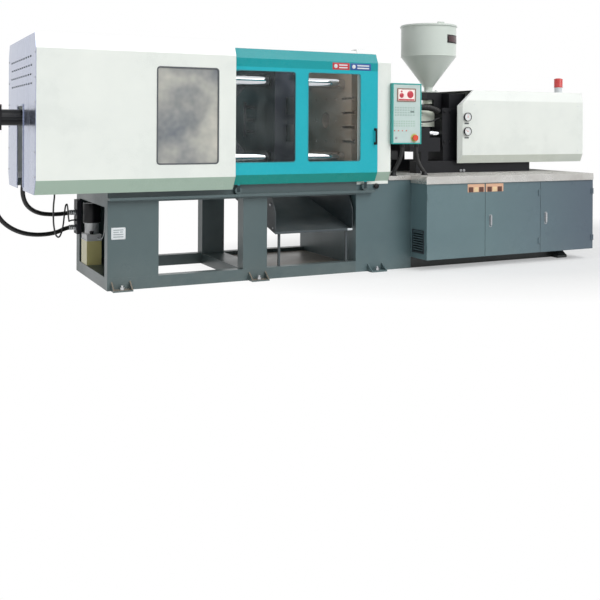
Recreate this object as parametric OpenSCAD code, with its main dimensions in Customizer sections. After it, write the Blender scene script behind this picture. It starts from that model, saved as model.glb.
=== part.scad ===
// Injection moulding machine with a horizontal toggle clamp.
// X runs along the machine from the clamp to the injection unit, Y to the rear, Z up.
// The origin is on the floor below the middle pedestal, on the centre line.

/* [Bed] */
// Width of the bed across the machine
bed_w = 1213; // [1160:1:1280]
// Height of the clamp axis above the floor
axis_z = 1460; // [1420:1:1520]
// Left end of the bed
bed_left_x = -1350; // [-1400:1:-1300]
// Height of the base rails
base_rail_h = 104; // [80:1:140]
// Width of the base rails
base_rail_w = 90; // [60:1:130]
// Underside of the long bed beams
beam_bottom_z = 745; // [700:1:790]
// Top of the long bed beams
beam_top_z = 900; // [880:1:920]
// Width of each long bed beam
beam_w = 206; // [180:1:240]
// Length of the left pedestal
left_pedestal_len = 445; // [400:1:500]
// Length of the middle pedestal
middle_pedestal_len = 236; // [200:1:280]
// Depth of each middle column
column_d = 130; // [100:1:180]
// Plate thickness of the bed
plate_t = 12; // [8:1:18]
// Top of the bed below the injection unit
bed_top_z = 910; // [900:1:930]
// Length of the bed below the fixed platen
block_len = 628; // [560:1:700]
// Length of the bed below the injection unit
injection_bed_len = 2000; // [1900:1:2080]
// Height of the plinth below the injection bed
plinth_h = 110; // [80:1:140]
// Thickness of the guide ways
way_t = 20; // [12:1:30]
// Width of the guide ways
way_w = 100; // [70:1:120]
// Width of an anchor bracket
anchor_w = 170; // [130:1:200]
// Diameter of an anchor hole
anchor_hole_d = 26; // [18:1:34]
// Thickness of the oil tray
tray_t = 5; // [3:1:10]

/* [Clamp] */
// Mould face of the fixed platen
fixed_face_x = 1040; // [1000:1:1080]
// Thickness of the fixed platen
fixed_t = 250; // [220:1:280]
// Gap between the platens when open
daylight = 525; // [480:1:560]
// Thickness of the moving platen
moving_t = 280; // [240:1:300]
// Thickness of the rear platen
rear_t = 230; // [200:1:260]
// Width of the platens
platen_w = 1050; // [1000:1:1090]
// Height of the platens
platen_h = 1000; // [960:1:1060]
// Diameter of the tie bars
tie_d = 95; // [80:1:105]
// Distance between tie bar centres, both ways
tie_pitch = 710; // [680:1:740]
// Diameter of the tie bar nuts
nut_d = 140; // [125:1:150]
// Length of the tie bar nuts
nut_len = 80; // [60:1:110]
// Diameter of the locating hole in the fixed platen
locating_d = 160; // [125:1:180]
// Diameter of the nozzle opening behind it
nozzle_well_d = 330; // [300:1:360]
// Mould bolt pattern across the machine
mould_bolt_y = 420; // [380:10:460]
// Mould bolt pattern up the platen
mould_bolt_z = 420; // [380:10:460]
// Diameter of the mould bolt holes
mould_bolt_d = 20; // [14:1:26]
// Depth of the mould bolt holes
mould_bolt_depth = 50; // [30:1:70]
// Width of a T slot mouth
slot_w = 22; // [18:1:28]
// Length of the links on the rear platen
rear_link = 380; // [376:1:384]
// Length of the links on the moving platen
front_link = 430; // [426:1:434]
// Height of the toggle pivots from the axis
toggle_h = 385; // [380:1:395]
// Length of the pivot lugs
lug_len = 150; // [140:1:165]
// Sideways place of the toggle link pairs
toggle_y = 170; // [160:1:185]
// Diameter of the toggle pins
pin_d = 56; // [44:1:60]
// Outer radius of a link eye
eye_r = 42; // [38:1:44]
// Diameter of the closing cylinder
cylinder_d = 140; // [120:1:160]
// Length of the closing cylinder
cylinder_len = 1485; // [1400:1:1540]
// Diameter of the piston rod
rod_d = 60; // [45:1:70]
// Diameter of the ejector rods
ejector_d = 36; // [28:1:44]

/* [Guards] */
// Sheet thickness of the guards
guard_t = 4; // [3:1:5]
// Distance of the clamp guard face in front of the bed
guard_out = 140; // [132:1:150]
// Length of the clamp guard
guard_len = 1714; // [1660:1:1740]
// Lower edge of the flat guard face
guard_low_z = 950; // [935:1:965]
// Upper edge of the flat guard face
guard_high_z = 2016; // [2000:1:2030]
// Bottom of the clamp guard
guard_bottom_z = 833; // [828:1:850]
// Top of the clamp guard
guard_top_z = 2137; // [2130:1:2150]
// Width of the clamp guard window
guard_window_w = 550; // [500:1:600]
// Corner radius of the windows
window_r = 25; // [15:1:35]
// Lower edge of the windows
window_low_z = 1070; // [1050:1:1100]
// Upper edge of the windows
window_high_z = 1895; // [1870:1:1910]
// Distance of the door face in front of the bed
door_out = 100; // [94:1:106]
// Length of the door
door_len = 1510; // [1490:1:1530]
// Right edge of the door
door_right_x = 1228; // [1210:1:1240]
// Bottom of the door
door_bottom_z = 872; // [866:1:880]
// Top of the door
door_top_z = 2093; // [2085:1:2098]
// Distance of the fixed guard in front of the bed
fixed_guard_out = 50; // [44:1:56]
// Right end of the fixed guard
fixed_guard_right_x = 1405; // [1395:1:1407]
// Radius of the door rollers
roller_r = 33; // [28:1:35]
// Thickness of a door roller
roller_t = 20; // [14:1:24]
// Height of the door handle
handle_h = 154; // [120:1:180]

/* [Injection unit] */
// Centre of the hopper along the machine
hopper_x = 2290; // [2270:1:2310]
// Radius of the hopper
hopper_r = 296; // [280:1:320]
// Top of the hopper
hopper_top_z = 2490; // [2440:1:2540]
// Height of the straight part of the hopper
hopper_straight = 335; // [300:1:370]
// Bottom of the hopper
hopper_bottom_z = 1770; // [1750:1:1790]
// Radius of the hopper neck
hopper_neck_r = 45; // [44:1:52]
// Sheet thickness of the hopper
hopper_t = 4; // [3:1:6]
// Left end of the injection cover
cover_left_x = 2424; // [2410:1:2440]
// Length of the injection cover
cover_len = 1711; // [1640:1:1780]
// Width of the injection cover
cover_w = 773; // [740:1:800]
// Bottom of the injection cover
cover_bottom_z = 1017; // [1005:1:1030]
// Top of the injection cover
cover_top_z = 1792; // [1770:1:1810]
// Diameter of the barrel
barrel_d = 130; // [110:1:150]
// Diameter of the screw
screw_d = 60; // [50:1:70]
// Diameter of the carriage guide rods
rail_d = 60; // [50:1:66]
// Sideways place of the guide rods
rail_y = 190; // [180:1:200]
// Height of the guide rods below the axis
rail_drop = 130; // [120:1:140]
// Diameter of the pressure gauges
gauge_d = 83; // [60:1:100]
// Diameter of the signal lamp
lamp_d = 100; // [80:1:120]
// Height of the signal lamp
lamp_h = 175; // [150:1:200]

/* [Cabinet and deck] */
// Length of the cabinet
cabinet_len = 2127; // [2060:1:2180]
// Depth of the cabinet
cabinet_d = 276; // [240:1:300]
// Bottom of the cabinet
cabinet_bottom_z = 110; // [90:1:130]
// Top of the cabinet
cabinet_top_z = 844; // [830:1:860]
// Sheet thickness of the cabinet
sheet_t = 4; // [3:1:6]
// Gap around the cabinet doors
door_gap = 4; // [3:1:6]
// Left edge of the deck
deck_left_x = 1410; // [1409:1:1425]
// Thickness of the deck plate
deck_t = 5; // [4:1:8]
// Overhang of the deck past the cabinet front
deck_lip = 14; // [8:1:20]
// Width of the control panel
panel_w = 333; // [320:1:345]
// Height of the control panel
panel_h = 592; // [540:1:640]
// Depth of the control panel
panel_d = 45; // [42:1:60]
// Bottom of the control panel
panel_bottom_z = 1230; // [1200:1:1260]
// Diameter of the emergency stop button
estop_d = 58; // [40:1:70]

/* [Hidden] */
$fn = 48;
// Radial clearance of running fits
run_gap = 0.05;
// Clearance between faces that slide past each other
face_gap = 0.3;
bed_y = bed_w / 2;
pedestal_left_right_x = bed_left_x + left_pedestal_len;
block_left_x = fixed_face_x + 11;
block_right_x = block_left_x + block_len;
injection_bed_left_x = block_right_x;
injection_bed_right_x = injection_bed_left_x + injection_bed_len;
beam_h = beam_top_z - beam_bottom_z;
way_top_z = beam_top_z + way_t;
platen_bottom_z = axis_z - platen_h / 2;
way_y = platen_w / 2 - way_w / 2;
moving_face_x = fixed_face_x - daylight;
moving_back_x = moving_face_x - moving_t;
front_pivot_x = moving_back_x - lug_len;
// Distance between the pivots of a link pair with the mould open
open_span = 470;
rear_pivot_x = front_pivot_x - open_span;
rear_face_x = rear_pivot_x - lug_len;
rear_back_x = rear_face_x - rear_t;
// Angle of a rear link to the axis, by the law of cosines
rear_angle = acos((rear_link * rear_link + open_span * open_span - front_link * front_link)
  / (2 * rear_link * open_span));
knee_drop = rear_link * sin(rear_angle);
front_angle = asin(knee_drop / front_link);
// Half thickness of the middle blade of a link pair
blade_half = 22;
// Thickness of each outer cheek of a link pair
cheek_t = 34;
cheek_gap = 1;
flange_t = 50;
flange_w = 420;
cylinder_left_x = rear_back_x - cylinder_len;
head_len = 110;
head_w = 220;
port_h = 14;
port_r = 26;
pipe_d = 34;
pipe_gap = 2;
// Places of the two hose ports along the closing cylinder
upper_port_x = -1850;
lower_port_x = -2190;
// Length of the cylinder bore behind the rear platen, and of the rod in it with the mould open
cylinder_bore = 700;
rod_reach = 380;
anchor_left_x = bed_left_x + 116;
anchor_middle_x = 22;
anchor_right_x = block_left_x + 214;
rod_window_y = 100;
lubricator_y = 300;
rod_window_z = 110;
tie_left_x = rear_back_x - nut_len - 60;
tie_right_x = fixed_face_x + fixed_t + nut_len + 10;
// Reach of the clamp guard from the left pedestal, and the post beside its window
guard_reach = 1060;
window_post = 164;
guard_left_x = pedestal_left_right_x - guard_reach;
guard_right_x = guard_left_x + guard_len;
guard_face_y = -bed_y - guard_out;
// Inward run of the guard bevels
low_bevel = 67;
high_bevel = 51;
flange_in = 120;
guard_window_right_x = guard_right_x - window_post;
door_left_x = door_right_x - door_len;
door_face_y = -bed_y - door_out;
door_low_bevel = 52;
door_high_bevel = 38;
door_low_z = door_bottom_z + 88;
door_high_z = door_top_z - 88;
door_flange = 20;
pane_t = 5;
// Width of the left and right door windows and the post between them
pane_left_w = 598;
pane_right_w = 558;
pane_post = 128;
pane_right_x = door_right_x - 189;
pane_left_x = pane_right_x - pane_right_w - pane_post - pane_left_w;
rail_bottom_w = 58;
rail_bottom_h = 22;
roller_z = roller_r + 786;
rail_top_z = roller_z - roller_r;
roller_y = -bed_y - 32;
roller_in = 100;
roller_axle_r = 8;
fixed_guard_left_x = fixed_face_x - 5;
fixed_guard_face_y = -bed_y - fixed_guard_out;
// Start, underside and height of the top rails
top_rail_in = 500;
top_rail_z = 2050;
top_rail_h = 30;
// Half width of the door hangers
hanger_half = 14;
carriage_left_x = hopper_x + 10;
carriage_right_x = carriage_left_x + 240;
rod_z = axis_z - rail_drop;
deck_top_z = bed_top_z + deck_t;
base_top_z = deck_top_z + 125;
base_left_x = hopper_x - 330;
base_right_x = hopper_x + 1148;
support_len = 150;
// Left end and height range of the slabs that carry the rod heads
slab_left_x = base_left_x - 100;
slab_right_x = hopper_x - 50;
slab_bottom_z = 1140;
slab_top_z = 1285;
slide_bottom_z = base_top_z + face_gap;
slide_t = 40;
arch_z = 1200;
cover_low = 85;
cover_low_inset = 37;
cover_t = 3;
cover_side_bevel = 40;
// Half width of the cover inside, at the underside of the slide plate
slide_half = cover_w / 2 - cover_t - cover_low_inset * (cover_bottom_z + cover_low
  - slide_bottom_z) / cover_low - face_gap;
ram_d = 45;
rods_right_x = 2740;
cylinder_end_x = carriage_right_x + 340;
drive_x = cylinder_end_x + 30;
slide_left_x = cover_left_x + cover_t + face_gap + cover_side_bevel;
cabinet_left_x = injection_bed_left_x;
cabinet_front_y = -bed_y - cabinet_d;
cabinet_right_x = cabinet_left_x + cabinet_len;
cabinet_split_a = cabinet_left_x + 698;
cabinet_split_b = cabinet_left_x + 1406;
hinge_r = 5;
hinge_h = 60;
hinge_y = cabinet_front_y - hinge_r - face_gap;
latch_w = 20;
latch_len = 85;
latch_z = 505;
latch_middle_x = cabinet_split_a + 68;
latch_right_x = cabinet_split_b + 72;
panel_left_x = fixed_guard_right_x - 10;
panel_front_y = -bed_y - 100;
nozzle_tip_x = fixed_face_x + 95;
// Pin of the hopper lid
lid_pin_d = 8;
lid_pin_y = hopper_r + 16;
lid_pin_z = hopper_top_z - 2;

// Cord routes, millimetres, chosen by hand
hose_d = 40;
cable_d = 14;
upper_route = [[-1850, 0, 1376], [-1850, 0, 1310], [-1862, 2, 1210], [-1885, 8, 1100],
  [-1912, 20, 990], [-1935, 45, 880], [-1930, 95, 780], [-1890, 170, 690], [-1820, 250, 625],
  [-1730, 330, 585], [-1630, 395, 567], [-1540, 445, 562], [-1470, 470, 565], [-1430, 470, 570],
  [-1402, 470, 570]];
lower_route = [[-2190, 0, 1336], [-2190, 0, 1280], [-2196, 2, 1180], [-2206, 5, 1060],
  [-2212, 8, 930], [-2206, 14, 800], [-2180, 25, 680], [-2120, 50, 570], [-2030, 95, 490],
  [-1920, 160, 435], [-1800, 235, 405], [-1680, 315, 395], [-1580, 390, 400],
  [-1500, 455, 418], [-1440, 470, 430], [-1402, 470, 430]];
cable_route = [[-1780, -560, 833], [-1780, -560, 800], [-1785, -552, 730], [-1782, -530, 650],
  [-1770, -490, 560], [-1745, -440, 480], [-1712, -390, 450], [-1680, -330, 470],
  [-1650, -270, 540], [-1625, -200, 640], [-1600, -120, 690], [-1570, -30, 690],
  [-1545, 60, 640], [-1520, 160, 570], [-1495, 260, 520], [-1475, 350, 500],
  [-1450, 420, 498], [-1425, 440, 500], [-1402, 440, 500]];
conduit_left_route = [[1524, -684, 1230], [1524, -684, 1185], [1521, -674, 1130],
  [1512, -652, 1070], [1500, -624, 1015], [1491, -598, 970], [1487, -580, 940],
  [1487, -580, 915]];
conduit_right_route = [[1684, -684, 1230], [1684, -684, 1185], [1694, -674, 1130],
  [1722, -652, 1070], [1765, -626, 1015], [1812, -604, 970], [1846, -588, 940],
  [1846, -588, 915]];

// A block between two corners
module block(x0, x1, y0, y1, z0, z1)
  translate([x0, y0, z0]) cube([x1 - x0, y1 - y0, z1 - z0]);

// A rod along X
module rod_x(x0, x1, d, y, z)
  translate([x0, y, z]) rotate([0, 90, 0]) cylinder(d = d, h = x1 - x0);

// A rod along Y
module rod_y(y0, y1, d, x, z)
  translate([x, y0, z]) rotate([-90, 0, 0]) cylinder(d = d, h = y1 - y0);

// An outline given as depth and height, drawn out along X
module along_x(x0, x1, points)
  translate([x0, 0, 0]) rotate([90, 0, 90]) linear_extrude(height = x1 - x0) polygon(points);

// The same shape on the front and the rear side
module both_sides() {
  children();
  mirror([0, 1, 0]) children();
}

// A window opening with round corners through a sheet that faces forward
module window_cut(x0, x1, z0, z1, r, y0, y1)
  translate([0, y1, 0]) rotate([90, 0, 0]) linear_extrude(height = y1 - y0) union() {
    translate([x0 + r, z0]) square([x1 - x0 - 2 * r, z1 - z0]);
    translate([x0, z0 + r]) square([x1 - x0, z1 - z0 - 2 * r]);
    for (x = [x0 + r, x1 - r], z = [z0 + r, z1 - r]) translate([x, z]) circle(r = r);
  }

// Direction between two points of a route
function unit(v) = v / norm(v);
function route_dir(p, i) = unit(p[min(i + 1, len(p) - 1)] - p[max(i - 1, 0)]);
// First side vector of each ring, carried along the route without twist
function side_vec(p, i, start) = i == 0 ? start
  : let (prev = side_vec(p, i - 1, start), d = route_dir(p, i)) unit(prev - d * (prev * d));
function ring(p, i, r, n, start) = let (d = route_dir(p, i), s = side_vec(p, i, start),
  c = cross(d, s)) [for (k = [0:n - 1]) p[i] + r * (cos(k * 360 / n) * s + sin(k * 360 / n) * c)];

// A round cord swept along a route
module cord(points, d, sides, start) {
  last = len(points) - 1;
  rings = [for (i = [0:last]) each ring(points, i, d / 2, sides, start)];
  walls = [for (i = [0:last - 1], k = [0:sides - 1]) let (a = i * sides, b = (k + 1) % sides)
    [a + k, a + b, a + sides + b, a + sides + k]];
  first_cap = [[for (k = [sides - 1:-1:0]) k]];
  last_cap = [[for (k = [0:sides - 1]) last * sides + k]];
  polyhedron(points = rings, faces = [for (f = concat(walls, first_cap, last_cap))
    [for (i = [len(f) - 1:-1:0]) f[i]]]);
}

// Bed

// Rails on the floor with the shallow oil tray and the anchor brackets welded to them
module base_frame() color("slategray") {
  tray_z = base_rail_h - 40;
  both_sides() block(bed_left_x, block_left_x, -bed_y, -bed_y + base_rail_w, 0, base_rail_h);
  block(bed_left_x, bed_left_x + left_pedestal_len, -bed_y, bed_y, 0, base_rail_h);
  block(-middle_pedestal_len / 2, middle_pedestal_len / 2, -bed_y, bed_y, 0, base_rail_h);
  block(middle_pedestal_len / 2, block_left_x, -bed_y + base_rail_w - 1, bed_y - base_rail_w + 1,
    tray_z, tray_z + tray_t);
  for (x = [anchor_left_x, anchor_middle_x]) both_sides() anchor_bracket(x);
}

// Foot plate with two gussets and an anchor hole
module anchor_bracket(x) {
  reach = 90;
  pad_t = 12;
  gusset_h = 75;
  difference() {
    block(x - anchor_w / 2, x + anchor_w / 2, -bed_y - reach, -bed_y, 0, pad_t);
    translate([x, -bed_y - reach / 2, -1]) cylinder(d = anchor_hole_d, h = pad_t + 2);
  }
  for (gx = [x - anchor_w / 2, x + anchor_w / 2 - pad_t])
    along_x(gx, gx + pad_t, [[-bed_y, pad_t], [-bed_y, gusset_h], [-bed_y - reach, pad_t]]);
}

// Left pedestal box, open at its left end, and the front and rear middle columns
module pedestals() color("slategray") {
  difference() {
    block(bed_left_x, pedestal_left_right_x, -bed_y, bed_y, base_rail_h, beam_bottom_z);
    block(bed_left_x + plate_t, pedestal_left_right_x - plate_t, -bed_y + plate_t,
      bed_y - plate_t, base_rail_h - 1, beam_bottom_z - plate_t);
    block(bed_left_x - 1, bed_left_x + plate_t + 1, -bed_y + 100, bed_y - 130,
      base_rail_h - 1, beam_bottom_z - 45);
  }
  both_sides() block(-middle_pedestal_len / 2, middle_pedestal_len / 2, -bed_y,
    -bed_y + column_d, base_rail_h, beam_bottom_z);
}

// Two long beams with cross members and guide ways, and arms that carry the end of the guard
module bed_beams() color("slategray") {
  both_sides() block(pedestal_left_right_x - 100, fixed_face_x, -way_y - way_w / 2,
    -way_y + way_w / 2, beam_top_z, way_top_z);
  both_sides() block(bed_left_x, block_left_x, -bed_y, -bed_y + beam_w, beam_bottom_z, beam_top_z);
  for (x = [bed_left_x, pedestal_left_right_x - 100, -50])
    block(x, x + 100, -bed_y, bed_y, beam_bottom_z, beam_top_z);
  both_sides() block(guard_left_x + guard_t, bed_left_x, -bed_y, -bed_y + 70,
    guard_bottom_z + guard_t, beam_top_z);
}

// Hollow block below the fixed platen, open at the floor
module bed_block() color("slategray") {
  difference() {
    block(block_left_x, block_right_x, -bed_y, bed_y, 0, bed_top_z);
    block(block_left_x + plate_t, block_right_x - plate_t, -bed_y + plate_t, bed_y - plate_t,
      -1, bed_top_z - plate_t);
  }
  both_sides() anchor_bracket(anchor_right_x);
}

// Bed and oil tank below the injection unit, on a recessed plinth with two flared feet
module injection_bed() color("slategray") {
  inset = 8;
  wall = 84;
  foot_reach = 90;
  difference() {
    block(injection_bed_left_x, injection_bed_right_x, -bed_y, bed_y, plinth_h, bed_top_z);
    block(injection_bed_left_x + plate_t, injection_bed_right_x - plate_t, -bed_y + plate_t,
      bed_y - plate_t, plinth_h - 1, bed_top_z - plate_t);
  }
  difference() {
    block(injection_bed_left_x, injection_bed_right_x - 60, -bed_y + inset, bed_y - inset,
      0, plinth_h);
    block(injection_bed_left_x + wall, injection_bed_right_x - 60 - wall,
      -bed_y + inset + wall, bed_y - inset - wall, -1, plinth_h + 1);
  }
  both_sides() along_x(injection_bed_right_x - 190, injection_bed_right_x - 60,
    [[-bed_y + inset + 1, 0], [-bed_y + inset + 1, plinth_h - 20], [-bed_y - foot_reach, 25],
    [-bed_y - foot_reach, 0]]);
}

// Sheet trough that slopes to the front, hung from the beams
module product_chute() color("darkslategray") {
  chute_t = 4;
  x0 = middle_pedestal_len / 2 + 88;
  x1 = block_left_x - 38;
  lip_z = 404;
  back_z = 655;
  back_y = bed_y - beam_w - 20;
  top_z = beam_bottom_z;
  slope = (back_z - lip_z) / (back_y + bed_y);
  leg_in = 30;
  leg_t = 20;
  along_x(x0 - 1, x1 + 1, [[-bed_y, lip_z], [back_y, back_z], [back_y, back_z + chute_t],
    [-bed_y + chute_t, lip_z + chute_t], [-bed_y + chute_t, lip_z + 22], [-bed_y, lip_z + 22]]);
  for (x = [x0 - chute_t, x1])
    along_x(x, x + chute_t, [[-bed_y, lip_z], [back_y, back_z], [back_y, top_z],
      [-bed_y + 80, top_z], [-bed_y, lip_z + 200]]);
  for (x = [x0 + 40, x1 - 60]) along_x(x, x + leg_t, [[-bed_y + leg_in, base_rail_h],
    [-bed_y + leg_in + leg_t, base_rail_h],
    [-bed_y + leg_in + leg_t, lip_z + slope * (leg_in + leg_t) + 1],
    [-bed_y + leg_in, lip_z + slope * leg_in + 1]]);
}

// Clamp

module tie_holes(x0, x1, d)
  for (y = [-tie_pitch / 2, tie_pitch / 2], z = [-tie_pitch / 2, tie_pitch / 2])
    rod_x(x0 - 1, x1 + 1, d, y, axis_z + z);

// Mould bolt holes in one face, the outer rectangle being the stated pattern
module mould_bolts(x0, x1)
  for (y = [-1, 0, 1], z = [-1, 0, 1]) if (y != 0 || z != 0)
    rod_x(x0, x1, mould_bolt_d, y * mould_bolt_y / 2, axis_z + z * mould_bolt_z / 2);

// Horizontal T slots near the edges of a platen face
module face_slots(x0, depth) {
  reach = 190;
  head_w2 = slot_w + 16;
  for (s = [-1, 1], z = [-210, -70, 70, 210]) {
    y0 = s > 0 ? platen_w / 2 - reach : -platen_w / 2 - 1;
    block(x0, x0 + depth, y0, y0 + reach + 1, axis_z + z - slot_w / 2, axis_z + z + slot_w / 2);
    block(x0 + 20, x0 + depth, y0, y0 + reach + 1, axis_z + z - head_w2 / 2,
      axis_z + z + head_w2 / 2);
  }
}

module fixed_platen() color("dimgray") difference() {
  union() {
    block(fixed_face_x, fixed_face_x + fixed_t, -platen_w / 2, platen_w / 2,
      platen_bottom_z, platen_bottom_z + platen_h);
    both_sides() block(block_left_x, fixed_face_x + fixed_t - 20, -platen_w / 2,
      -platen_w / 2 + 240, bed_top_z, platen_bottom_z);
  }
  tie_holes(fixed_face_x, fixed_face_x + fixed_t, tie_d + 2 * run_gap);
  rod_x(fixed_face_x - 1, fixed_face_x + 61, locating_d, 0, axis_z);
  rod_x(fixed_face_x + 60, fixed_face_x + fixed_t + 1, nozzle_well_d, 0, axis_z);
  mould_bolts(fixed_face_x - 1, fixed_face_x + mould_bolt_depth);
  face_slots(fixed_face_x - 1, 41);
}

// Two lugs with a pin, one pair above and one below the axis
module pivot_lugs(x_face, x_pin, half, outer) {
  for (s = [-1, 1], y = [-toggle_y, toggle_y]) {
    z = axis_z + s * toggle_h;
    difference() {
      union() {
        block(min(x_face, x_pin), max(x_face, x_pin), y - half, y + half, z - eye_r, z + eye_r);
        rod_y(y - half, y + half, 2 * eye_r, x_pin, z);
      }
      if (outer > 0) block(x_pin - eye_r - 12, x_pin + eye_r + 12,
        y - outer, y + outer, z - eye_r - 1, z + eye_r + 1);
    }
  }
}

module toggle_pins(x, half)
  for (s = [-1, 1], y = [-toggle_y, toggle_y])
    rod_y(y - half, y + half, pin_d, x, axis_z + s * toggle_h);

module moving_platen() color("dimgray") difference() {
  union() {
    block(moving_back_x, moving_face_x, -platen_w / 2 + 20, platen_w / 2 - 20,
      platen_bottom_z, platen_bottom_z + platen_h);
    both_sides() block(moving_back_x + 20, moving_face_x - 20, -way_y - way_w / 2 + 5,
      -way_y + way_w / 2 - 5, way_top_z + face_gap, platen_bottom_z);
    pivot_lugs(moving_back_x, front_pivot_x, blade_half + cheek_gap + cheek_t,
      blade_half + cheek_gap);
    toggle_pins(front_pivot_x, blade_half + cheek_gap + cheek_t);
  }
  tie_holes(moving_back_x, moving_face_x, tie_d + 2 * run_gap);
  rod_x(moving_back_x - 1, moving_face_x + 1, ejector_d + 2 * run_gap, 0, axis_z);
  for (s = [-1, 1]) rod_x(moving_back_x - 1, moving_face_x + 1, ejector_d + 2 * run_gap,
    0, axis_z + s * 120);
  mould_bolts(moving_face_x - mould_bolt_depth, moving_face_x + 1);
  mirror([1, 0, 0]) translate([-2 * moving_face_x, 0, 0]) face_slots(moving_face_x - 1, 41);
}

module rear_platen() color("dimgray") difference() {
  union() {
    block(rear_back_x, rear_face_x, -platen_w / 2 + 20, platen_w / 2 - 20,
      platen_bottom_z, platen_bottom_z + platen_h);
    both_sides() block(rear_back_x + 20, rear_face_x - 20, -way_y - way_w / 2 + 5,
      -way_y + way_w / 2 - 5, way_top_z, platen_bottom_z);
    pivot_lugs(rear_face_x, rear_pivot_x, blade_half, 0);
    toggle_pins(rear_pivot_x, blade_half + cheek_gap + cheek_t);
  }
  tie_holes(rear_back_x, rear_face_x, tie_d + 2 * run_gap);
  block(rear_back_x - 1, rear_face_x + 1, -rod_window_y, rod_window_y, axis_z - rod_window_z,
    axis_z + rod_window_z);
}

module tie_bars() color("silver") tie_holes(tie_left_x + 1, tie_right_x - 1, tie_d);

module tie_bar_nuts() color("gray") difference() {
  for (x = [rear_back_x - nut_len, fixed_face_x + fixed_t])
    for (y = [-tie_pitch / 2, tie_pitch / 2], z = [-tie_pitch / 2, tie_pitch / 2])
      rod_x(x, x + nut_len, nut_d, y, axis_z + z);
  tie_holes(rear_back_x - nut_len, fixed_face_x + fixed_t + nut_len, tie_d + 2 * run_gap);
}

// Closing cylinder: flange, barrel, rear head, ports and the bright oil pipe along its front
module closing_cylinder() color("black") {
  difference() {
    union() {
      block(rear_back_x - flange_t, rear_back_x, -flange_w / 2, flange_w / 2,
        axis_z - flange_w / 2, axis_z + flange_w / 2);
      rod_x(cylinder_left_x + head_len, rear_back_x - flange_t, cylinder_d, 0, axis_z);
      block(cylinder_left_x, cylinder_left_x + head_len, -head_w / 2, head_w / 2,
        axis_z - head_w / 2, axis_z + head_w / 2);
      translate([upper_port_x, 0, axis_z - cylinder_d / 2 - port_h]) cylinder(r = port_r, h = 40);
      translate([lower_port_x, 0, axis_z - head_w / 2 - port_h]) cylinder(r = port_r, h = 40);
    }
    rod_x(rear_back_x - cylinder_bore, rear_back_x + 1, rod_d + 2 * run_gap, 0, axis_z);
  }
  rod_x(cylinder_left_x + head_len, rear_back_x - flange_t, pipe_d,
    -cylinder_d / 2 - pipe_gap - pipe_d / 2, axis_z);
}

// One set of rear links: outer cheeks with knee pins, drawn from the pivot along +X
module cheek_pair(len, y) {
  for (s = [-1, 1]) {
    y0 = y + (s > 0 ? blade_half + cheek_gap : -blade_half - cheek_gap - cheek_t);
    difference() {
      union() {
        block(0, len, y0, y0 + cheek_t, -eye_r + 6, eye_r - 6);
        rod_y(y0, y0 + cheek_t, 2 * eye_r, 0, 0);
        rod_y(y0, y0 + cheek_t, 2 * eye_r, len, 0);
        rod_y(s > 0 ? y0 + cheek_t - 1 : y0 - 7, s > 0 ? y0 + cheek_t + 8 : y0 + 1,
          pin_d - 12, len, 0);
      }
      rod_y(y0 - 1, y0 + cheek_t + 1, pin_d + 2 * run_gap, 0, 0);
    }
  }
}

// Middle blade of a link, drawn from its pivot along +X
module blade(len, y) difference() {
  union() {
    block(0, len, y - blade_half + face_gap, y + blade_half - face_gap, -eye_r + 6, eye_r - 6);
    rod_y(y - blade_half + face_gap, y + blade_half - face_gap, 2 * eye_r, 0, 0);
    rod_y(y - blade_half + face_gap, y + blade_half - face_gap, 2 * eye_r, len, 0);
  }
  rod_y(y - blade_half - 1, y + blade_half + 1, pin_d + 2 * run_gap, 0, 0);
}

module rear_links(s) color("darkslategray")
  translate([rear_pivot_x, 0, axis_z + s * toggle_h]) rotate([0, s * rear_angle, 0])
    for (y = [-toggle_y, toggle_y]) cheek_pair(rear_link, y);

module front_links(s) color("darkslategray")
  translate([front_pivot_x, 0, axis_z + s * toggle_h]) rotate([0, 180 - s * front_angle, 0])
    for (y = [-toggle_y, toggle_y]) blade(front_link, y);

module rear_links_upper() rear_links(1);
module rear_links_lower() rear_links(-1);
module front_links_upper() front_links(1);
module front_links_lower() front_links(-1);

// Crosshead block on the end of the piston rod
module crosshead() color("gray") {
  crosshead_x = rear_pivot_x - 110;
  block(crosshead_x, crosshead_x + 80, -80, 80, axis_z - 90, axis_z + 90);
  rod_x(rear_back_x - rod_reach, crosshead_x, rod_d, 0, axis_z);
}

// Ejector plate with three rods through the moving platen
module ejector() color("lightgray") {
  plate_x = moving_back_x - 130;
  plate_thick = 30;
  block(plate_x, plate_x + plate_thick, -60, 60, axis_z - 170, axis_z + 170);
  for (z = [-120, 0, 120]) rod_x(plate_x + plate_thick, moving_face_x - 20, ejector_d, 0, axis_z + z);
}

// Guards

// Folded guard outline: bevel, face, bevel and top flange
function guard_outline(y, z0, z1, z2, z3, b0, b1, fl, t) = [[y + b0, z0], [y, z1], [y, z2],
  [y + b1, z3], [y + b1 + fl, z3], [y + b1 + fl, z3 - t], [y + b1 + t, z3 - t],
  [y + t, z2 - 1], [y + t, z1 + 1], [y + b0 + t, z0]];

module clamp_guard() {
  along_x(guard_left_x + guard_t, guard_right_x, guard_outline(guard_face_y, guard_bottom_z,
    guard_low_z, guard_high_z, guard_top_z, low_bevel, high_bevel, flange_in, guard_t));
  block(guard_left_x + guard_t, bed_left_x - 2, guard_face_y + low_bevel + guard_t - 1,
    -bed_y + 60, guard_bottom_z, guard_bottom_z + guard_t);
}

module clamp_guard_front() color("white") difference() {
  clamp_guard();
  window_cut(guard_window_right_x - guard_window_w, guard_window_right_x, window_low_z,
    window_high_z, window_r, guard_face_y - 1, guard_face_y + guard_t + 1);
}

module clamp_guard_rear() color("white") mirror([0, 1, 0]) clamp_guard();

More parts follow.
